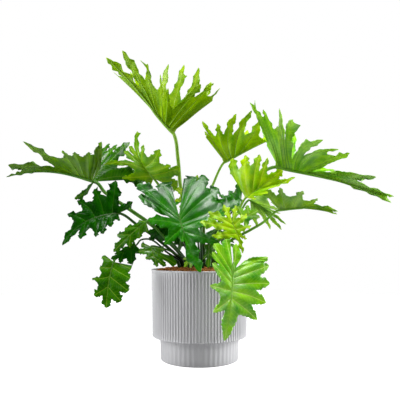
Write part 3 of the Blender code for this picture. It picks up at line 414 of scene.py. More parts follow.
def leaf_skin(name, broad, deep, rib, roughness, shine, relief):
    """Living leaf tissue: waxy, satin, mottled between the veins, with pale ribs, painted shade of the pleats
    between the ribs and light coming through.
    """
    made, node, shader, output = new_material(name)
    place = node("TexCoord").outputs["Object"]
    ribs = node("SeparateXYZ", {0: node("UVMap", uv_map="veins")})
    lobes = node("SeparateXYZ", {0: node("UVMap", uv_map="lobes")})
    aside = node("Math", {0: ribs.outputs[0]}, operation="ABSOLUTE")
    along = ribs.outputs[1]
    # a rib's pale line reaches 1.3 mm to each side at the midrib, and 0.5 mm from 120 mm on
    width = node("MapRange", {0: along, 1: 0.0, 2: 0.12, 3: 0.0013, 4: 0.0005})
    inside = node("Math", {0: width, 1: 0.35}, operation="MULTIPLY")
    side_rib = node("MapRange", {0: aside, 1: inside, 2: width, 3: 1.0, 4: 0.0}, **SMOOTH)
    midrib = node("MapRange", {0: along, 1: 0.0008, 2: 0.0022, 3: 1.0, 4: 0.0}, **SMOOTH)
    pale = node("Math", {0: side_rib, 1: midrib}, operation="MAXIMUM")
    # side veins leave the rib at about 50 degrees
    bend = node("TexNoise", {"Vector": place, "Scale": 45.0, "Detail": 1.0})
    slant = node("Math", {0: aside, 1: -0.85, 2: along}, operation="MULTIPLY_ADD")
    slant = node("Math", {0: bend, 1: 0.004, 2: slant}, operation="MULTIPLY_ADD")
    count = node("Math", {0: slant, 1: 1.0 / VEIN_PITCH}, operation="MULTIPLY")
    wave = node("Math", {0: count, 1: 0.5}, operation="PINGPONG")
    vein = node("MapRange", {0: wave, 1: 0.0, 2: 0.13, 3: 1.0, 4: 0.0}, **SMOOTH)
    # the net of the finest veins
    net = node("TexVoronoi", {"Vector": place, "Scale": 1.0 / NET_PITCH}, feature="DISTANCE_TO_EDGE")
    mesh = node("MapRange", {0: net, 1: 0.0, 2: 0.12, 3: 1.0, 4: 0.0})
    # mottling with patches of about 26 mm
    cloud = node("TexNoise", {"Vector": place, "Scale": 38.0, "Detail": 4.0, "Roughness": 0.6})
    cloud = node("MapRange", {0: cloud, 1: 0.36, 2: 0.66, 3: 0.0, 4: 1.0})
    # each lobe has a tone of its own
    number = node("Math", {0: lobes.outputs[1]}, operation="FLOOR")
    chance = node("TexWhiteNoise", {"W": number}, noise_dimensions="1D")
    patch = node("Math", {0: chance, 1: 0.5, 2: cloud}, operation="MULTIPLY_ADD")
    # painted shade: the blade is palest within a few millimetres of a rib and darker out towards its edges
    # and webs, the pleats' shade painted as streaks along the ribs
    pleat_shade = node("MapRange", {0: aside, 1: 0.001, 2: 0.012, 3: -0.15, 4: 0.45})
    patch = node("Math", {0: patch, 1: pleat_shade})
    patch = node("Math", {0: patch, 1: 0.6}, operation="MULTIPLY", use_clamp=True)
    tone = node("Mix", {0: patch, 6: broad, 7: deep}, data_type="RGBA").outputs[2]
    edge = node("MapRange", {0: lobes.outputs[0], 1: 0.9, 2: 1.0, 3: 0.0, 4: 1.0})
    masks = ((vein, 0.16, rib), (mesh, 0.05, deep), (pale, 0.5, rib), (edge, 0.55, broad))
    for mask, strength, colour in masks:
        share = node("Math", {0: mask, 1: strength}, operation="MULTIPLY")
        tone = node("Mix", {0: share, 6: tone, 7: colour}, data_type="RGBA").outputs[2]
    # veins are sunk in the upper face and stand proud of the lower one
    height = node("Math", {0: vein, 1: 0.8, 2: pale}, operation="MULTIPLY_ADD")
    height = node("Math", {0: mesh, 1: 0.05, 2: height}, operation="MULTIPLY_ADD")
    bump = node("Bump", {"Height": height, "Distance": abs(relief), "Strength": 0.5}, invert=relief < 0)
    gloss = node("MapRange", {0: cloud, 3: roughness - 0.05, 4: roughness + 0.07})
    # the wax is thick on some stretches of a blade and nearly worn off on others
    wax = node("TexNoise", {"Vector": place, "Scale": 1.0 / WAX_PITCH, "Detail": 2.0})
    wax = node("MapRange", {0: wax, 1: 0.4, 2: 0.6, 3: 0.2 * shine, 4: 1.9 * shine}, **SMOOTH)
    # an export that leaves the wax out reads this even gloss from the socket
    shader.inputs["Specular IOR Level"].default_value = shine
    feed(shader, {"Base Color": tone, "Roughness": gloss, "Specular IOR Level": wax, "Normal": bump})
    through = node("BsdfTranslucent", {"Color": tone})
    both = node("MixShader", {0: TRANSLUCENCE, 1: shader, 2: through})
    feed(output, {0: both})
    return made


def stem_skin(name, green, pale, dark):
    """Fleshy leaf stalk: smooth and waxy, streaked along its length, with painted shade where it leaves the
    soil among the crowded stalks.
    """
    made, node, shader, _ = new_material(name)
    spot = node("UVMap", uv_map="stalk")
    parts = node("SeparateXYZ", {0: spot})
    # nine streaks round the stalk, each about 33 mm long
    stretch = node("Mapping", {"Vector": spot, "Scale": (9.0, 30.0, 1.0)})
    streak = node("TexNoise", {"Vector": stretch, "Scale": 1.0, "Detail": 3.0})
    streak = node("MapRange", {0: streak, 1: 0.35, 2: 0.7, 3: 0.0, 4: 0.75})
    tone = node("Mix", {0: streak, 6: green, 7: pale}, data_type="RGBA").outputs[2]
    # painted shade: dark over the first 50 mm from the stalk's end in the soil, fading out by 160 mm, for the
    # shade low down among the crowded stalks
    low = node("MapRange", {0: parts.outputs[1], 1: 0.05, 2: 0.16, 3: 0.95, 4: 0.0})
    tone = node("Mix", {0: low, 6: tone, 7: dark}, data_type="RGBA").outputs[2]
    bump = node("Bump", {"Height": streak, "Distance": 0.0003, "Strength": 0.5})
    gloss = node("MapRange", {0: streak, 3: 0.3, 4: 0.42})
    feed(shader, {"Base Color": tone, "Roughness": gloss, "Specular IOR Level": 0.18, "Normal": bump})
    return made


def stoneware():
    """Unglazed grey stoneware, slip cast: matte and even, with a fine sandy tooth and faint cloudiness."""
    made, node, shader, _ = new_material("matte_grey_stoneware")
    place = node("TexCoord").outputs["Object"]
    cloud = node("TexNoise", {"Vector": place, "Scale": 14.0, "Detail": 3.0})
    tone = node("Mix", {0: cloud, 6: "#929295", 7: "#9b9b9d"}, data_type="RGBA").outputs[2]
    # sand grains of about 0.4 mm
    sand = node("TexNoise", {"Vector": place, "Scale": 2500.0, "Detail": 2.0})
    grain = node("MapRange", {0: sand, 1: 0.6, 2: 0.75, 3: 0.0, 4: 0.25})
    tone = node("Mix", {0: grain, 6: tone, 7: "#7a7a7e"}, data_type="RGBA").outputs[2]
    bump = node("Bump", {"Height": sand, "Distance": 0.0001, "Strength": 0.5})
    gloss = node("MapRange", {0: cloud, 3: 0.58, 4: 0.7})
    feed(shader, {"Base Color": tone, "Roughness": gloss, "Normal": bump})
    return made


def potting_mix(name, light, dark, scale):
    """Damp peat and coir: rough, crumbly, matte, orange brown to near black, scale lumps to the metre."""
    made, node, shader, _ = new_material(name)
    place = node("TexCoord").outputs["Object"]
    lump = node("TexNoise", {"Vector": place, "Scale": scale, "Detail": 6.0, "Roughness": 0.7})
    share = node("MapRange", {0: lump, 1: 0.38, 2: 0.62, 3: 0.0, 4: 1.0})
    tone = node("Mix", {0: share, 6: dark, 7: light}, data_type="RGBA").outputs[2]
    bump = node("Bump", {"Height": lump, "Distance": 0.0015, "Strength": 0.9})
    gloss = node("MapRange", {0: lump, 3: 0.8, 4: 0.98})
    feed(shader, {"Base Color": tone, "Roughness": gloss, "Specular IOR Level": 0.08, "Normal": bump})
    return made


# Shapes
def linked(name, data):
    """An object in the scene for a mesh, a light or a camera."""
    obj = bpy.data.objects.new(name, data)
    bpy.context.scene.collection.objects.link(obj)
    return obj


def meshed(bm, name, materials):
    """An object from a bmesh, with its materials."""
    mesh = bpy.data.meshes.new(name)
    bm.to_mesh(mesh)
    bm.free()
    for made in materials:
        mesh.materials.append(made)
    return linked(name, mesh)


def shown(bm, name, materials, node):
    """A smooth piece that rides on the body and stands for the node."""
    obj = meshed(bm, name, materials)
    obj.data.shade_smooth()
    obj.data.set_sharp_from_angle(angle=SHARP)
    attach(obj, "root")
    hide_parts(node)
    return obj


def shaped_grid(bm, rows, columns, place):
    """A grid whose corner at row i and column j goes where place says. Returns its corners by (i, j)."""
    made = bmesh.ops.create_grid(bm, x_segments=columns, y_segments=rows, size=0.5)["verts"]
    spots = {}
    for vert in made:
        i = round((vert.co.y + 0.5) * rows)
        j = round((vert.co.x + 0.5) * columns)
        vert.co = place(i, j)
        spots[vert] = (i, j)
    return spots


def in_order(bm):
    """Sorts faces by place, since a spin or an extrusion leaves them in a new order each run."""
    for i, face in enumerate(sorted(bm.faces, key=lambda face: tuple(face.calc_center_median()))):
        face.index = i
    bm.faces.sort()


def write_uv(layer, spots, value):
    """Gives each loop of a grid the coordinates that value works out from its row and column."""
    for face in {face for vert in spots for face in vert.link_faces}:
        for loop in face.loops:
            loop[layer].uv = value(*spots[loop.vert])


# Pot and soil
def lower_corner(radius, height, size):
    """A quarter round from an underside at this height to a wall of this radius, after its first point."""
    turns = [math.radians(15 * i) for i in range(1, 7)]
    return [(radius - size * (1 - math.sin(a)), height + size * (1 - math.cos(a))) for a in turns]


def wall_line(low, high, steps):
    """Points up a straight wall, after its first one."""
    across, up = high[0] - low[0], high[1] - low[1]
    return [(low[0] + across * i / steps, low[1] + up * i / steps) for i in range(1, steps + 1)]


def pot_profile():
    """The pot's outline as (radius, height): up from the base, over the rim and down to the floor inside."""
    inner = RIM_RADIUS - POT_WALL
    lip = POT_HEIGHT - RIM_HEIGHT
    shoulder = POT_HEIGHT - RIM_ROUND
    ring = FOOT_RADIUS - FOOT_RING
    points = [(0.0, BASE_RECESS), (ring - 0.002, BASE_RECESS), (ring, 0.0)]
    points += [(FOOT_RADIUS - FOOT_CORNER, 0.0), *lower_corner(FOOT_RADIUS, 0.0, FOOT_CORNER)]
    points += wall_line((FOOT_RADIUS, FOOT_CORNER), (FOOT_TOP_RADIUS, FOOT_HEIGHT), 6)
    points += [(DRUM_RADIUS - DRUM_CORNER, FOOT_HEIGHT), *lower_corner(DRUM_RADIUS, FOOT_HEIGHT, DRUM_CORNER)]
    points += wall_line((DRUM_RADIUS, FOOT_HEIGHT + DRUM_CORNER), (RIM_RADIUS - RIM_STEP, lip), 14)
    points += [(RIM_RADIUS, lip + 0.0006), (RIM_RADIUS, shoulder)]
    points += [(RIM_RADIUS - RIM_ROUND * (1 - math.cos(a)), POT_HEIGHT - RIM_ROUND * (1 - math.sin(a)))
               for a in (math.radians(22.5 * i) for i in range(1, 5))]
    points += [(inner + RIM_ROUND, POT_HEIGHT), (inner, shoulder), (DRUM_RADIUS - POT_WALL, POT_LEDGE)]
    points += [(FOOT_TOP_RADIUS - POT_WALL, POT_LEDGE), (FOOT_RADIUS - POT_WALL, POT_FLOOR), (0.0, POT_FLOOR)]
    return points


def flute_depth(radius, height):
    """The flutes' depth and count: shallow on the foot, deeper on the drum, fading out into its plain lip."""
    if BASE_RECESS < height < FOOT_HEIGHT - 0.0005 and radius > FOOT_RADIUS - 0.002:
        return FOOT_FLUTE_DEPTH, FOOT_FLUTES
    fade = min(1.0, max(0.0, (POT_HEIGHT - RIM_HEIGHT + 0.0004 - height) / FLUTE_FADE))
    rise = min(1.0, max(0.0, (height - FOOT_HEIGHT - 0.0005) / FLUTE_RISE))
    if radius > DRUM_RADIUS - 0.004 and height > FOOT_HEIGHT:
        return DRUM_FLUTE_DEPTH * fade * rise, DRUM_FLUTES
    return 0.0, DRUM_FLUTES


def pot():
    """The planter, spun from its outline and fluted all round."""
    bm = bmesh.new()
    line = [bm.verts.new((0.0, -radius, height)) for radius, height in pot_profile()]
    edges = [bm.edges.new(pair) for pair in zip(line, line[1:])]
    bmesh.ops.spin(bm, geom=line + edges, axis=(0, 0, 1), cent=(0, 0, 0), angle=2 * math.pi, steps=POT_STEPS,
                   use_merge=True)
    bmesh.ops.remove_doubles(bm, verts=bm.verts, dist=WELD)
    bmesh.ops.recalc_face_normals(bm, faces=bm.faces)
    for vert in bm.verts:
        radius = math.hypot(vert.co.x, vert.co.y)
        depth, count = flute_depth(radius, vert.co.z)
        if depth:
            turn = math.atan2(vert.co.x, -vert.co.y)
            shrink = 1.0 - depth * (0.5 - 0.5 * math.cos(count * turn)) / radius
            vert.co.x *= shrink
            vert.co.y *= shrink
    in_order(bm)
    shown(bm, "fluted_pot", [stoneware()], "pot")


def soil_height(x, y):
    """The soil's surface, mounded towards the stems and lumpy."""
    reach = min(1.0, math.hypot(x, y) / (RIM_RADIUS - POT_WALL))
    lump = noise.noise(Vector((x * 90, y * 90, 3.0))) * 0.0016
    lump += noise.noise(Vector((x * 320, y * 320, 7.0))) * 0.0007
    return SOIL_TOP - 0.001 - (SOIL_TOP - SOIL_EDGE) * reach ** 3 + lump * (1 - reach ** 8)


def soil():
    """The potting mix, from its lumpy top down to the pot's floor."""
    reach = RIM_RADIUS - POT_WALL - SOIL_GAP
    bm = bmesh.new()
    bmesh.ops.create_circle(bm, cap_ends=True, cap_tris=True, segments=SOIL_SIDES, radius=reach)
    spokes = [e for e in bm.edges if not e.is_boundary]
    bmesh.ops.subdivide_edges(bm, edges=spokes, cuts=SOIL_RINGS, use_grid_fill=True)
    bmesh.ops.triangulate(bm, faces=bm.faces)
    for vert in bm.verts:
        vert.co.z = soil_height(vert.co.x, vert.co.y)
    for radius, height in ((DRUM_RADIUS, POT_LEDGE), (FOOT_TOP_RADIUS, POT_LEDGE), (FOOT_RADIUS, POT_FLOOR)):
        rim = [e for e in bm.edges if e.is_boundary]
        walls = bmesh.ops.extrude_edge_only(bm, edges=rim)["geom"]
        for vert in (v for v in walls if isinstance(v, bmesh.types.BMVert)):
            vert.co.xy = vert.co.xy.normalized() * (radius - POT_WALL - SOIL_GAP)
            vert.co.z = height + SOIL_GAP
    bmesh.ops.holes_fill(bm, edges=[e for e in bm.edges if e.is_boundary], sides=0)
    bmesh.ops.recalc_face_normals(bm, faces=bm.faces)
    in_order(bm)
    mix = potting_mix("peat_and_coir_mix", "#b4763c", "#45260f", 240.0)
    shown(bm, "potting_soil", [mix], "soil")


def scattered(chance, inset):
    """A random place on the soil, at least this far in from the pot's wall."""
    turn = chance.uniform(0, 2 * math.pi)
    reach = (RIM_RADIUS - POT_WALL - inset) * math.sqrt(chance.random())
    return reach * math.cos(turn), reach * math.sin(turn)


def soil_crumbs():
    """Crumbs of peat and bark that lie loose on the soil."""
    chance = random.Random(CRUMB_SEED)
    bm = bmesh.new()
    for _ in range(CRUMBS):
        x, y = scattered(chance, 0.004)
        size = chance.uniform(*CRUMB_RADII)
        made = bmesh.ops.create_icosphere(bm, subdivisions=1, radius=size)["verts"]
        for vert in made:
            vert.co *= chance.uniform(0.7, 1.25)
            vert.co.z *= 0.7
            vert.co += Vector((x, y, soil_height(x, y) + size * 0.25))
    mix = potting_mix("bark_and_peat_crumbs", "#bc7c40", "#2c180a", 420.0)
    shown(bm, "soil_crumbs", [mix], "soil")


def coir_fibres():
    """Short curved coir fibres that lie loose on the soil."""
    chance = random.Random(FIBRE_SEED)
    bm = bmesh.new()
    for _ in range(FIBRES):
        x, y = scattered(chance, 0.019)
        heading = chance.uniform(0, 2 * math.pi)
        length = chance.uniform(*FIBRE_LENGTHS)
        bend = chance.uniform(-1.2, 1.2)
        points = []
        for i in range(FIBRE_ROWS + 1):
            share = i / FIBRE_ROWS
            angle = heading + bend * share
            x += math.cos(angle) * length / FIBRE_ROWS
            y += math.sin(angle) * length / FIBRE_ROWS
            points.append(Vector((x, y, soil_height(x, y) + 0.0006 + 0.0012 * math.sin(math.pi * share))))
        tube(bm, points, [FIBRE_RADIUS] * len(points), FIBRE_SIDES)
    mix = potting_mix("coir_fibre", "#bf8246", "#7a4726", 300.0)
    shown(bm, "coir_fibres", [mix], "soil")


# Fronds
def seen(u, v, depth):
    """The point at this depth in millimetres behind the pot's axis, u across and v down the front view."""
    along = Vector((0.0, math.cos(LIFT), math.sin(LIFT)))
    above = Vector((0.0, -math.sin(LIFT), math.cos(LIFT)))
    ray = along + Vector((1.0, 0.0, 0.0)) * ((u - FRAME / 2) / REACH) + above * ((FRAME / 2 - v) / REACH)
    return EYE + ray * ((depth / 1000.0 - EYE.y) / ray.y)


def bezier(a, b, c, t):
    """The point at the share t of a curve from a to c with the control point b."""
    return a * (1 - t) ** 2 + b * (2 * t * (1 - t)) + c * t ** 2


def slope_of(a, b, c, t):
    """The direction of the same curve there."""
    return ((b - a) * (2 * (1 - t)) + (c - b) * (2 * t)).normalized()


def root_stations(frond):
    """Where the side ribs leave the midrib, as shares of its length."""
    count = len(frond["left"])
    return [0.03 + (frond["last"] - 0.03) * (k / (count - 1)) ** 1.3 for k in range(count)]


def midrib(frond):
    """The midrib's start, control point and end."""
    joint, tip = seen(*frond["joint"]), seen(*frond["tip"])
    return joint, (joint + tip) / 2 + Vector(frond["arch"]) / 1000.0, tip


def ribs_of(frond, side):
    """Each rib of one side as (start, control, end, face direction), base first, the midrib's end last."""
    middle = midrib(frond)
    tips = [seen(*point) for point in frond[side]]
    starts = [bezier(*middle, share) for share in root_stations(frond)]
    turn = 1.0 if side == "left" else -1.0
    bends = frond["bend"].get(side, {})
    ends = [*tips, middle[2]]
    made = []
    for k, (start, end) in enumerate(zip(starts, tips)):
        face = (ends[k + 1] - start).cross(end - start)
        if k:
            face = face.normalized() + (end - start).cross(ends[k - 1] - start).normalized()
        face = (face * turn).normalized()
        length = (end - start).length
        ahead = face.cross(end - start).normalized() * -turn
        bow = frond["bow"] * length
        control = (start + end) / 2 + face * bow + ahead * (bends.get(k, 0.0) * length)
        made.append((start, control, end, face))
    start = starts[-1]
    share = root_stations(frond)[-1]
    control = bezier(*middle, share) + slope_of(*middle, share) * ((middle[2] - start).length / 2)
    control += Vector(frond["sweep"]) / 1000.0
    made.append((start, control, middle[2], made[-1][3]))
    return made


def on_rib(rib, t):
    """The point at the share t of a rib."""
    return bezier(rib[0], rib[1], rib[2], t)


def length_of(rib):
    """A rib's length in a straight line."""
    return (rib[2] - rib[0]).length


def clear_of(rib, point):
    """The distance from a point to a rib."""
    return min((on_rib(rib, i / RIB_ROWS) - point).length for i in range(RIB_ROWS + 1))


def sinus_reach(frond, side, ribs):
    """How far from the midrib each gap between two lobes begins, base first."""
    shares = frond["notch"].get(side) or [frond["sinus"]] * (len(ribs) - 1)
    return [share * min(length_of(ribs[k]), length_of(ribs[k + 1])) for k, share in enumerate(shares)]


def web_point(ribs, k, reach, share):
    """A point on the crest of the web halfway between two neighbouring ribs, raised as a soft pleat."""
    a, b = ribs[k], ribs[k + 1]
    here, there = on_rib(a, share * reach / length_of(a)), on_rib(b, share * reach / length_of(b))
    lift = PLEAT * (here - there).length * min(1.0, 2.5 * share) * (1 - 0.7 * share)
    return (here + there) / 2 + (a[3] + b[3]).normalized() * lift


def web_line(ribs, k, reach):
    """The web's crest from the midrib to the notch, one point a row."""
    return [web_point(ribs, k, reach, i / WEB_ROWS) for i in range(WEB_ROWS + 1)]


def middle_line(rib, inner):
    """A lobe's rib, one point a row: its web's rows end at the share inner of it."""
    made = [on_rib(rib, inner * i / WEB_ROWS) for i in range(WEB_ROWS + 1)]
    return made + [on_rib(rib, inner + (1 - inner) * j / FREE_ROWS) for j in range(1, FREE_ROWS + 1)]


def outline(frond, e, phase):
    """A lobe's half width along its free part: rounded, with alternate side teeth and an acute end."""
    body = (1.0 - e ** frond["blunt"]) ** 0.8 * (1.0 - frond["paddle"] * (1.0 - e) ** 1.5)
    return body * (1.0 + frond["waist"] * math.cos(2 * math.pi * 2 * e + phase))


def spur(frond, side, k, e, ahead):
    """How far a side point of a forked lobe stands out at this place, as a share of the rib's length."""
    place, size = frond["fork"].get(side, {}).get(k, (0.0, 0.0))
    if (size > 0) != ahead:
        return 0.0
    return abs(size) * max(0.0, 1.0 - abs(e - place) / 0.12) ** 1.4


def small_teeth(distance, pitch, shift, depth):
    """Blunt teeth with narrow notches along an edge."""
    wave = 0.5 + 0.5 * math.cos(2 * math.pi * distance / pitch + shift)
    return 1.0 + depth * 0.35 - depth * (1.0 - wave) ** 2.2


def margin(frond, side, ribs, k, start, other, phase, way, chance):
    """One edge of a lobe's free part, from the notch at start to the lobe's end, as one point a row."""
    rib = ribs[k]
    wide = frond["wide"].get(side, {}).get(k, 1.0)
    low = min(0.97, (start - rib[0]).length / length_of(rib))
    across = rib[3].cross(slope_of(*rib[:3], low)).normalized() * way
    gap = (start - on_rib(rib, low)).dot(across)
    rest = start - on_rib(rib, low) - across * gap
    pitch = TOOTH_PITCH * min(1.15, max(0.5, length_of(rib) / 0.11))
    shift = chance.uniform(0, 2 * math.pi)
    made = [start]
    for j in range(1, FREE_ROWS + 1):
        e = j / FREE_ROWS
        t = low + (1 - low) * e
        here = on_rib(rib, t)
        along = slope_of(*rib[:3], t)
        across = rib[3].cross(along).normalized() * way
        width = frond["broad"] * wide * length_of(rib) * outline(frond, e, phase)
        width *= small_teeth(e * (1 - low) * length_of(rib), pitch, shift, TOOTH_DEPTH)
        width = min(width, 0.44 * clear_of(other, here))
        blend = max(0.0, 1.0 - e / 0.3) ** 2
        point = here + across * (gap * blend + width * (1 - blend)) + rest * (1 - e) ** 3
        out = spur(frond, side, k, e, phase > 0) * length_of(rib)
        made.append(point + (across * 0.8 + along * 0.7) * out)
    return made


def lobe_edges(frond, side, ribs, reaches, k, opposite, chance):
    """A side lobe's middle, back and front lines, with one point a row from the midrib to the lobe's end."""
    rib = ribs[k]
    way = -1.0 if side == "left" else 1.0
    inner = (reaches[k] + (reaches[k - 1] if k else reaches[k])) / 2 / length_of(rib)
    front = web_line(ribs, k, reaches[k])
    if k:
        back = web_line(ribs, k - 1, reaches[k - 1])
    else:
        centre = on_rib(rib, inner)
        along = slope_of(*rib[:3], inner)
        across = (front[-1] - centre) - along * (front[-1] - centre).dot(along)
        width = min(frond["broad"] * 0.9 * length_of(rib), 0.4 * clear_of(opposite, centre))
        notch = centre - across.normalized() * width
        back = [rib[0].lerp(notch, i / WEB_ROWS) for i in range(WEB_ROWS + 1)]
    other = ribs[k - 1] if k else opposite
    back += margin(frond, side, ribs, k, back[-1], other, 0.0, -way, chance)[1:]
    front += margin(frond, side, ribs, k, front[-1], ribs[k + 1], math.pi, way, chance)[1:]
    return middle_line(rib, inner), back, front


def end_edges(frond, sides, chance):
    """The end lobe's lines, between the last side lobes."""
    left, right = sides["left"], sides["right"]
    rib = left[0][-1]
    inner = (left[1][-1] + right[1][-1]) / 2 / length_of(rib)
    last = len(left[0]) - 2
    front = web_line(left[0], last, left[1][-1])
    back = web_line(right[0], last, right[1][-1])
    front += margin(frond, "left", left[0], last + 1, front[-1], left[0][-2], math.pi, 1.0, chance)[1:]
    back += margin(frond, "left", left[0], last + 1, back[-1], right[0][-2], 0.0, -1.0, chance)[1:]
    return middle_line(rib, inner), back, front


def lobe(bm, layers, frond, rib, lines, stations, number, chance):
    """One lobe as a grid from its back edge over its rib to its front edge, pleated and ruffled."""
    middle, back, front = lines
    rows = WEB_ROWS + FREE_ROWS
    face = rib[3]
    gone = [0.0]
    for low, high in zip(middle, middle[1:]):
        gone.append(gone[-1] + (high - low).length)
    pitch = RUFFLE_PITCH * chance.uniform(0.8, 1.25)
    shifts = (chance.uniform(0, 2 * math.pi), chance.uniform(0, 2 * math.pi))
    strength = RUFFLE * frond["ruffle"]
    ribline = midrib(frond)

    def place(i, j):
        side = j / COLUMNS - 1.0
        aside = abs(side)
        if i == 0:
            low, own, high = stations
            return bezier(*ribline, own + (high - own if side > 0 else own - low) * side)
        edge = front[i] if side > 0 else back[i]
        across = edge - middle[i]
        lift = across.dot(face)
        point = middle[i] + across * aside + face * (lift * (math.sin(math.pi * aside / 2) - aside))
        if i > WEB_ROWS:
            e = (i - WEB_ROWS) / FREE_ROWS
            wave = math.sin(2 * math.pi * gone[i] / pitch + shifts[side > 0])
            swell = strength * across.length * min(1.0, 3 * e)
            point += face * (swell * wave * aside ** 1.6)
        return point

    spots = shaped_grid(bm, rows, 2 * COLUMNS, place)
    faces = list({f for vert in spots for f in vert.link_faces})
    bm.normal_update()
    if sum((f.normal * f.calc_area() for f in faces), Vector()).dot(face) < 0:
        bmesh.ops.reverse_faces(bm, faces=faces)

    def veins(i, j):
        side = j / COLUMNS - 1.0
        edge = front[i] if side > 0 else back[i]
        return side * (edge - middle[i]).length, gone[i]

    def edge_and_number(i, j):
        return abs(j / COLUMNS - 1.0) * (i > WEB_ROWS), number + 0.2 + 0.6 * i / rows

    write_uv(layers[0], spots, veins)
    write_uv(layers[1], spots, edge_and_number)


def blade(name, frond, skins):
    """A leaf blade: a lobe for each side rib, and the end lobe."""
    chance = random.Random(name)
    bm = bmesh.new()
    layers = (bm.loops.layers.uv.new("veins"), bm.loops.layers.uv.new("lobes"))
    sides = {side: ribs_of(frond, side) for side in ("left", "right")}
    sides = {side: (ribs, sinus_reach(frond, side, ribs)) for side, ribs in sides.items()}
    shares = root_stations(frond)
    number = 0
    for side, opposite in (("left", "right"), ("right", "left")):
        ribs, reaches = sides[side]
        for k in range(len(frond[side])):
            low = (shares[k - 1] + shares[k]) / 2 if k else 0.0
            high = (shares[k] + shares[min(k + 1, len(shares) - 1)]) / 2
            lines = lobe_edges(frond, side, ribs, reaches, k, sides[opposite][0][0], chance)
            lobe(bm, layers, frond, ribs[k], lines, (low, shares[k], high), number, chance)
            number += 1
    left, right = sides["left"][0][-1], sides["right"][0][-1]
    rib = (*left[:3], (left[3] + right[3]).normalized())
    lobe(bm, layers, frond, rib, end_edges(frond, sides, chance), (shares[-1],) * 3, number, chance)
    bmesh.ops.remove_doubles(bm, verts=bm.verts, dist=BLADE_WELD)
    bmesh.ops.dissolve_degenerate(bm, edges=bm.edges, dist=BLADE_WELD)
    obj = shown(bm, name + "_blade", skins, name)
    thick = obj.modifiers.new("thickness", "SOLIDIFY")
    thick.thickness = BLADE
    thick.offset = 0.0
    thick.material_offset = 1


def tube(bm, points, radii, sides, layer=None, start=0.0):
    """A round tube through the points, as a wrapped grid with closed ends."""
    across = Vector((1.0, 0.0, 0.0))
    frames = []
    gone = [start]
    for i, point in enumerate(points):
        ahead = points[min(i + 1, len(points) - 1)]
        behind = points[max(i - 1, 0)]
        along = (ahead - behind).normalized()
        across = across - along * across.dot(along)
        if across.length < 0.1:
            across = along.cross(Vector((0.0, 1.0, 0.0)))
        across.normalize()
        frames.append((across.copy(), along.cross(across)))
        if i:
            gone.append(gone[-1] + (point - points[i - 1]).length)

    def place(i, j):
        angle = 2 * math.pi * j / sides
        return points[i] + (frames[i][0] * math.cos(angle) + frames[i][1] * math.sin(angle)) * radii[i]

    spots = shaped_grid(bm, len(points) - 1, sides, place)
    if layer:
        write_uv(layer, spots, lambda i, j: (j / sides, gone[i]))
    verts = list(spots)
    bmesh.ops.remove_doubles(bm, verts=verts, dist=WELD)
    ends = [e for v in verts if v.is_valid for e in v.link_edges if e.is_boundary]
    faces = bmesh.ops.holes_fill(bm, edges=list(set(ends)), sides=0)["faces"]
    whole = list({f for v in verts if v.is_valid for f in v.link_faces} | set(faces))
    bmesh.ops.recalc_face_normals(bm, faces=whole)


def stem_radii(frond):
    """The stem's radius at the soil and at the joint, by the blade's length."""
    length = (seen(*frond["tip"]) - seen(*frond["joint"])).length
    thick = min(STEM_RADII[1], max(STEM_RADII[0], 0.0012 + 0.018 * length))
    return thick, 0.78 * thick


def stem_path(frond):
    """Points down the middle of the stem, from its foot in the soil to the joint."""
    x, y = frond["root"]
    base = Vector((x / 1000.0, y / 1000.0, SOIL_TOP))
    middle = midrib(frond)
    knots = [base + UP * 0.006, *[seen(*point) for point in frond["via"]], middle[0]]
    points = [base + UP * rise for rise in (0.004 - HOLE_DEPTH, -0.008, 0.001)]
    before = [base - UP * 0.02, *knots, bezier(*middle, 0.2)]
    for i in range(1, len(before) - 2):
        p0, p1, p2, p3 = before[i - 1:i + 3]
        reach = (p2 - p1).length
        m1 = (p2 - p0).normalized() * reach
        m2 = (p3 - p1).normalized() * reach
        steps = max(3, round(reach / STEM_ROW))
        for j in range(1, steps + 1):
            t = j / steps
            points.append(
                p1 * (2 * t ** 3 - 3 * t ** 2 + 1) + m1 * (t ** 3 - 2 * t ** 2 + t)
                + p2 * (3 * t ** 2 - 2 * t ** 3) + m2 * (t ** 3 - t ** 2)
            )
    return points


def stem(name, frond, skin):
    """The stem, which runs on as the midrib, and the ribs of the lobes on the blade's lower face."""
    thick, thin = stem_radii(frond)
    bm = bmesh.new()
    layer = bm.loops.layers.uv.new("stalk")
    points = stem_path(frond)
    count = len(points)
    radii = [thick + (thin - thick) * i / (count - 1) for i in range(count)]
    radii = [r * (1 + 0.45 * max(0.0, 1 - (p.z - SOIL_TOP) / 0.03) ** 2 * (p.z > SOIL_TOP - 0.002))
             for r, p in zip(radii, points)]
    sides = {side: ribs_of(frond, side) for side in ("left", "right")}
    under = -(sides["left"][-1][3] + sides["right"][-1][3]).normalized()
    middle = midrib(frond)
    last = root_stations(frond)[-1]
    for i in range(1, MIDRIB_ROWS + 1):
        share = 0.97 * i / MIDRIB_ROWS
        radius = thin * (0.25 + 0.75 * (1 - share) ** 1.5)
        if share < last:
            spot = bezier(*middle, share)
        else:
            spot = on_rib(sides["left"][-1], (share - last) / (1 - last))
        points.append(spot + under * (radius * 0.55 * min(1.0, i / 3)))
        radii.append(radius * (1.0 if i < MIDRIB_ROWS else 0.4))
    tube(bm, points, radii, STEM_SIDES, layer)
    for ribs in sides.values():
        for rib in ribs[:-1]:
            widest = min(0.42 * thin, 0.00055 + 0.004 * length_of(rib))
            line, sizes = [], []
            for i in range(RIB_ROWS + 1):
                share = 0.94 * i / RIB_ROWS
                size = widest * (0.3 + 0.7 * (1 - share) ** 1.3)
                line.append(on_rib(rib, share) - rib[3] * (size * 0.5))
                sizes.append(size * (1.0 if i < RIB_ROWS else 0.4))
            tube(bm, line, sizes, RIB_SIDES, layer, start=0.2)
    shown(bm, name + "_stem", [skin], name)


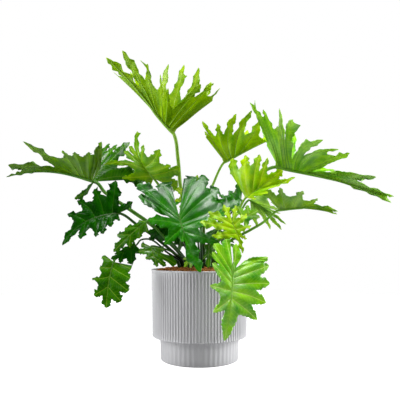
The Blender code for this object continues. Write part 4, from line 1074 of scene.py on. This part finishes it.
def fronds():
    """Every frond's blade and stem, each in its own skins."""
    leaves = {}
    for kind, (broad, deep, under, under_deep, rib, roughness, shine) in SKINS.items():
        leaves[kind] = (
            leaf_skin(kind + "_leaf_face", broad, deep, rib, roughness, shine, -0.0003),
            leaf_skin(kind + "_leaf_underside", under, under_deep, rib, roughness + 0.1, shine, 0.00025),
        )
    stalks = {kind: stem_skin(*look) for kind, look in STALKS.items()}
    for name, values in FRONDS.items():
        frond = {**PLAIN, **values}
        blade(name, frond, leaves[frond["skin"]])
        stem(name, frond, stalks[frond["skin"]])


# Studio
def floor():
    """A wide pale floor that the camera sees as white."""
    bm = bmesh.new()
    bmesh.ops.create_circle(bm, cap_ends=True, segments=128, radius=1.6)
    made, node, shader, _ = new_material("pale_studio_floor")
    direct = node("LightPath").outputs["Is Camera Ray"]
    glow = node("Math", {0: direct, 1: 0.9}, operation="MULTIPLY")
    feed(shader, {"Base Color": "#b4b4b4", "Roughness": 0.9})
    feed(shader, {"Emission Color": "#ffffff", "Emission Strength": glow})
    obj = meshed(bm, "studio_floor", [made])
    obj.location.z = -0.0002


def softbox(name, place, target, width, height, power):
    """A rectangular light at a place that faces its target."""
    light = bpy.data.lights.new(name, "AREA")
    light.shape = "RECTANGLE"
    light.size = width
    light.size_y = height
    light.energy = power
    obj = linked(name, light)
    obj.location = place
    obj.rotation_euler = (Vector(target) - Vector(place)).to_track_quat("-Z", "Y").to_euler()


def studio():
    """A white backdrop, a dim room, a large softbox above, one at each side and a small one in front."""
    world = bpy.data.worlds.new("studio")
    bpy.context.scene.world = world
    world.use_nodes = True
    tree = world.node_tree
    back = add(tree, "Background", {"Color": "#ffffff", "Strength": 1.0})
    room = add(tree, "Background", {"Color": "#ffffff", "Strength": 0.03})
    direct = add(tree, "LightPath").outputs["Is Camera Ray"]
    both = add(tree, "MixShader", {0: direct, 1: room, 2: back})
    feed(tree.nodes["World Output"], {0: both})
    softbox("top_softbox", (0.0, -0.2, 1.75), (0.0, 0.0, 0.35), 1.1, 0.8, 46.0)
    softbox("window_softbox", (-0.25, -1.3, 1.0), (0.0, 0.0, 0.3), 0.45, 0.25, 4.5)
    softbox("left_softbox", (-1.5, -0.1, 0.5), (0.0, 0.0, 0.3), 0.9, 1.4, 48.0)
    softbox("right_softbox", (1.5, 0.0, 0.5), (0.0, 0.0, 0.3), 0.9, 1.4, 66.0)


def camera():
    """The camera of the front view."""
    lens = bpy.data.cameras.new("front")
    lens.sensor_width = SENSOR
    lens.lens = REACH / FRAME * SENSOR
    obj = linked("front", lens)
    obj.location = EYE
    obj.rotation_euler = (math.radians(90.0) + LIFT, 0.0, 0.0)
    bpy.context.scene.camera = obj


camera()
studio()
floor()
pot()
soil()
soil_crumbs()
coir_fibres()
fronds()
bpy.context.scene.view_settings.view_transform = "Standard"
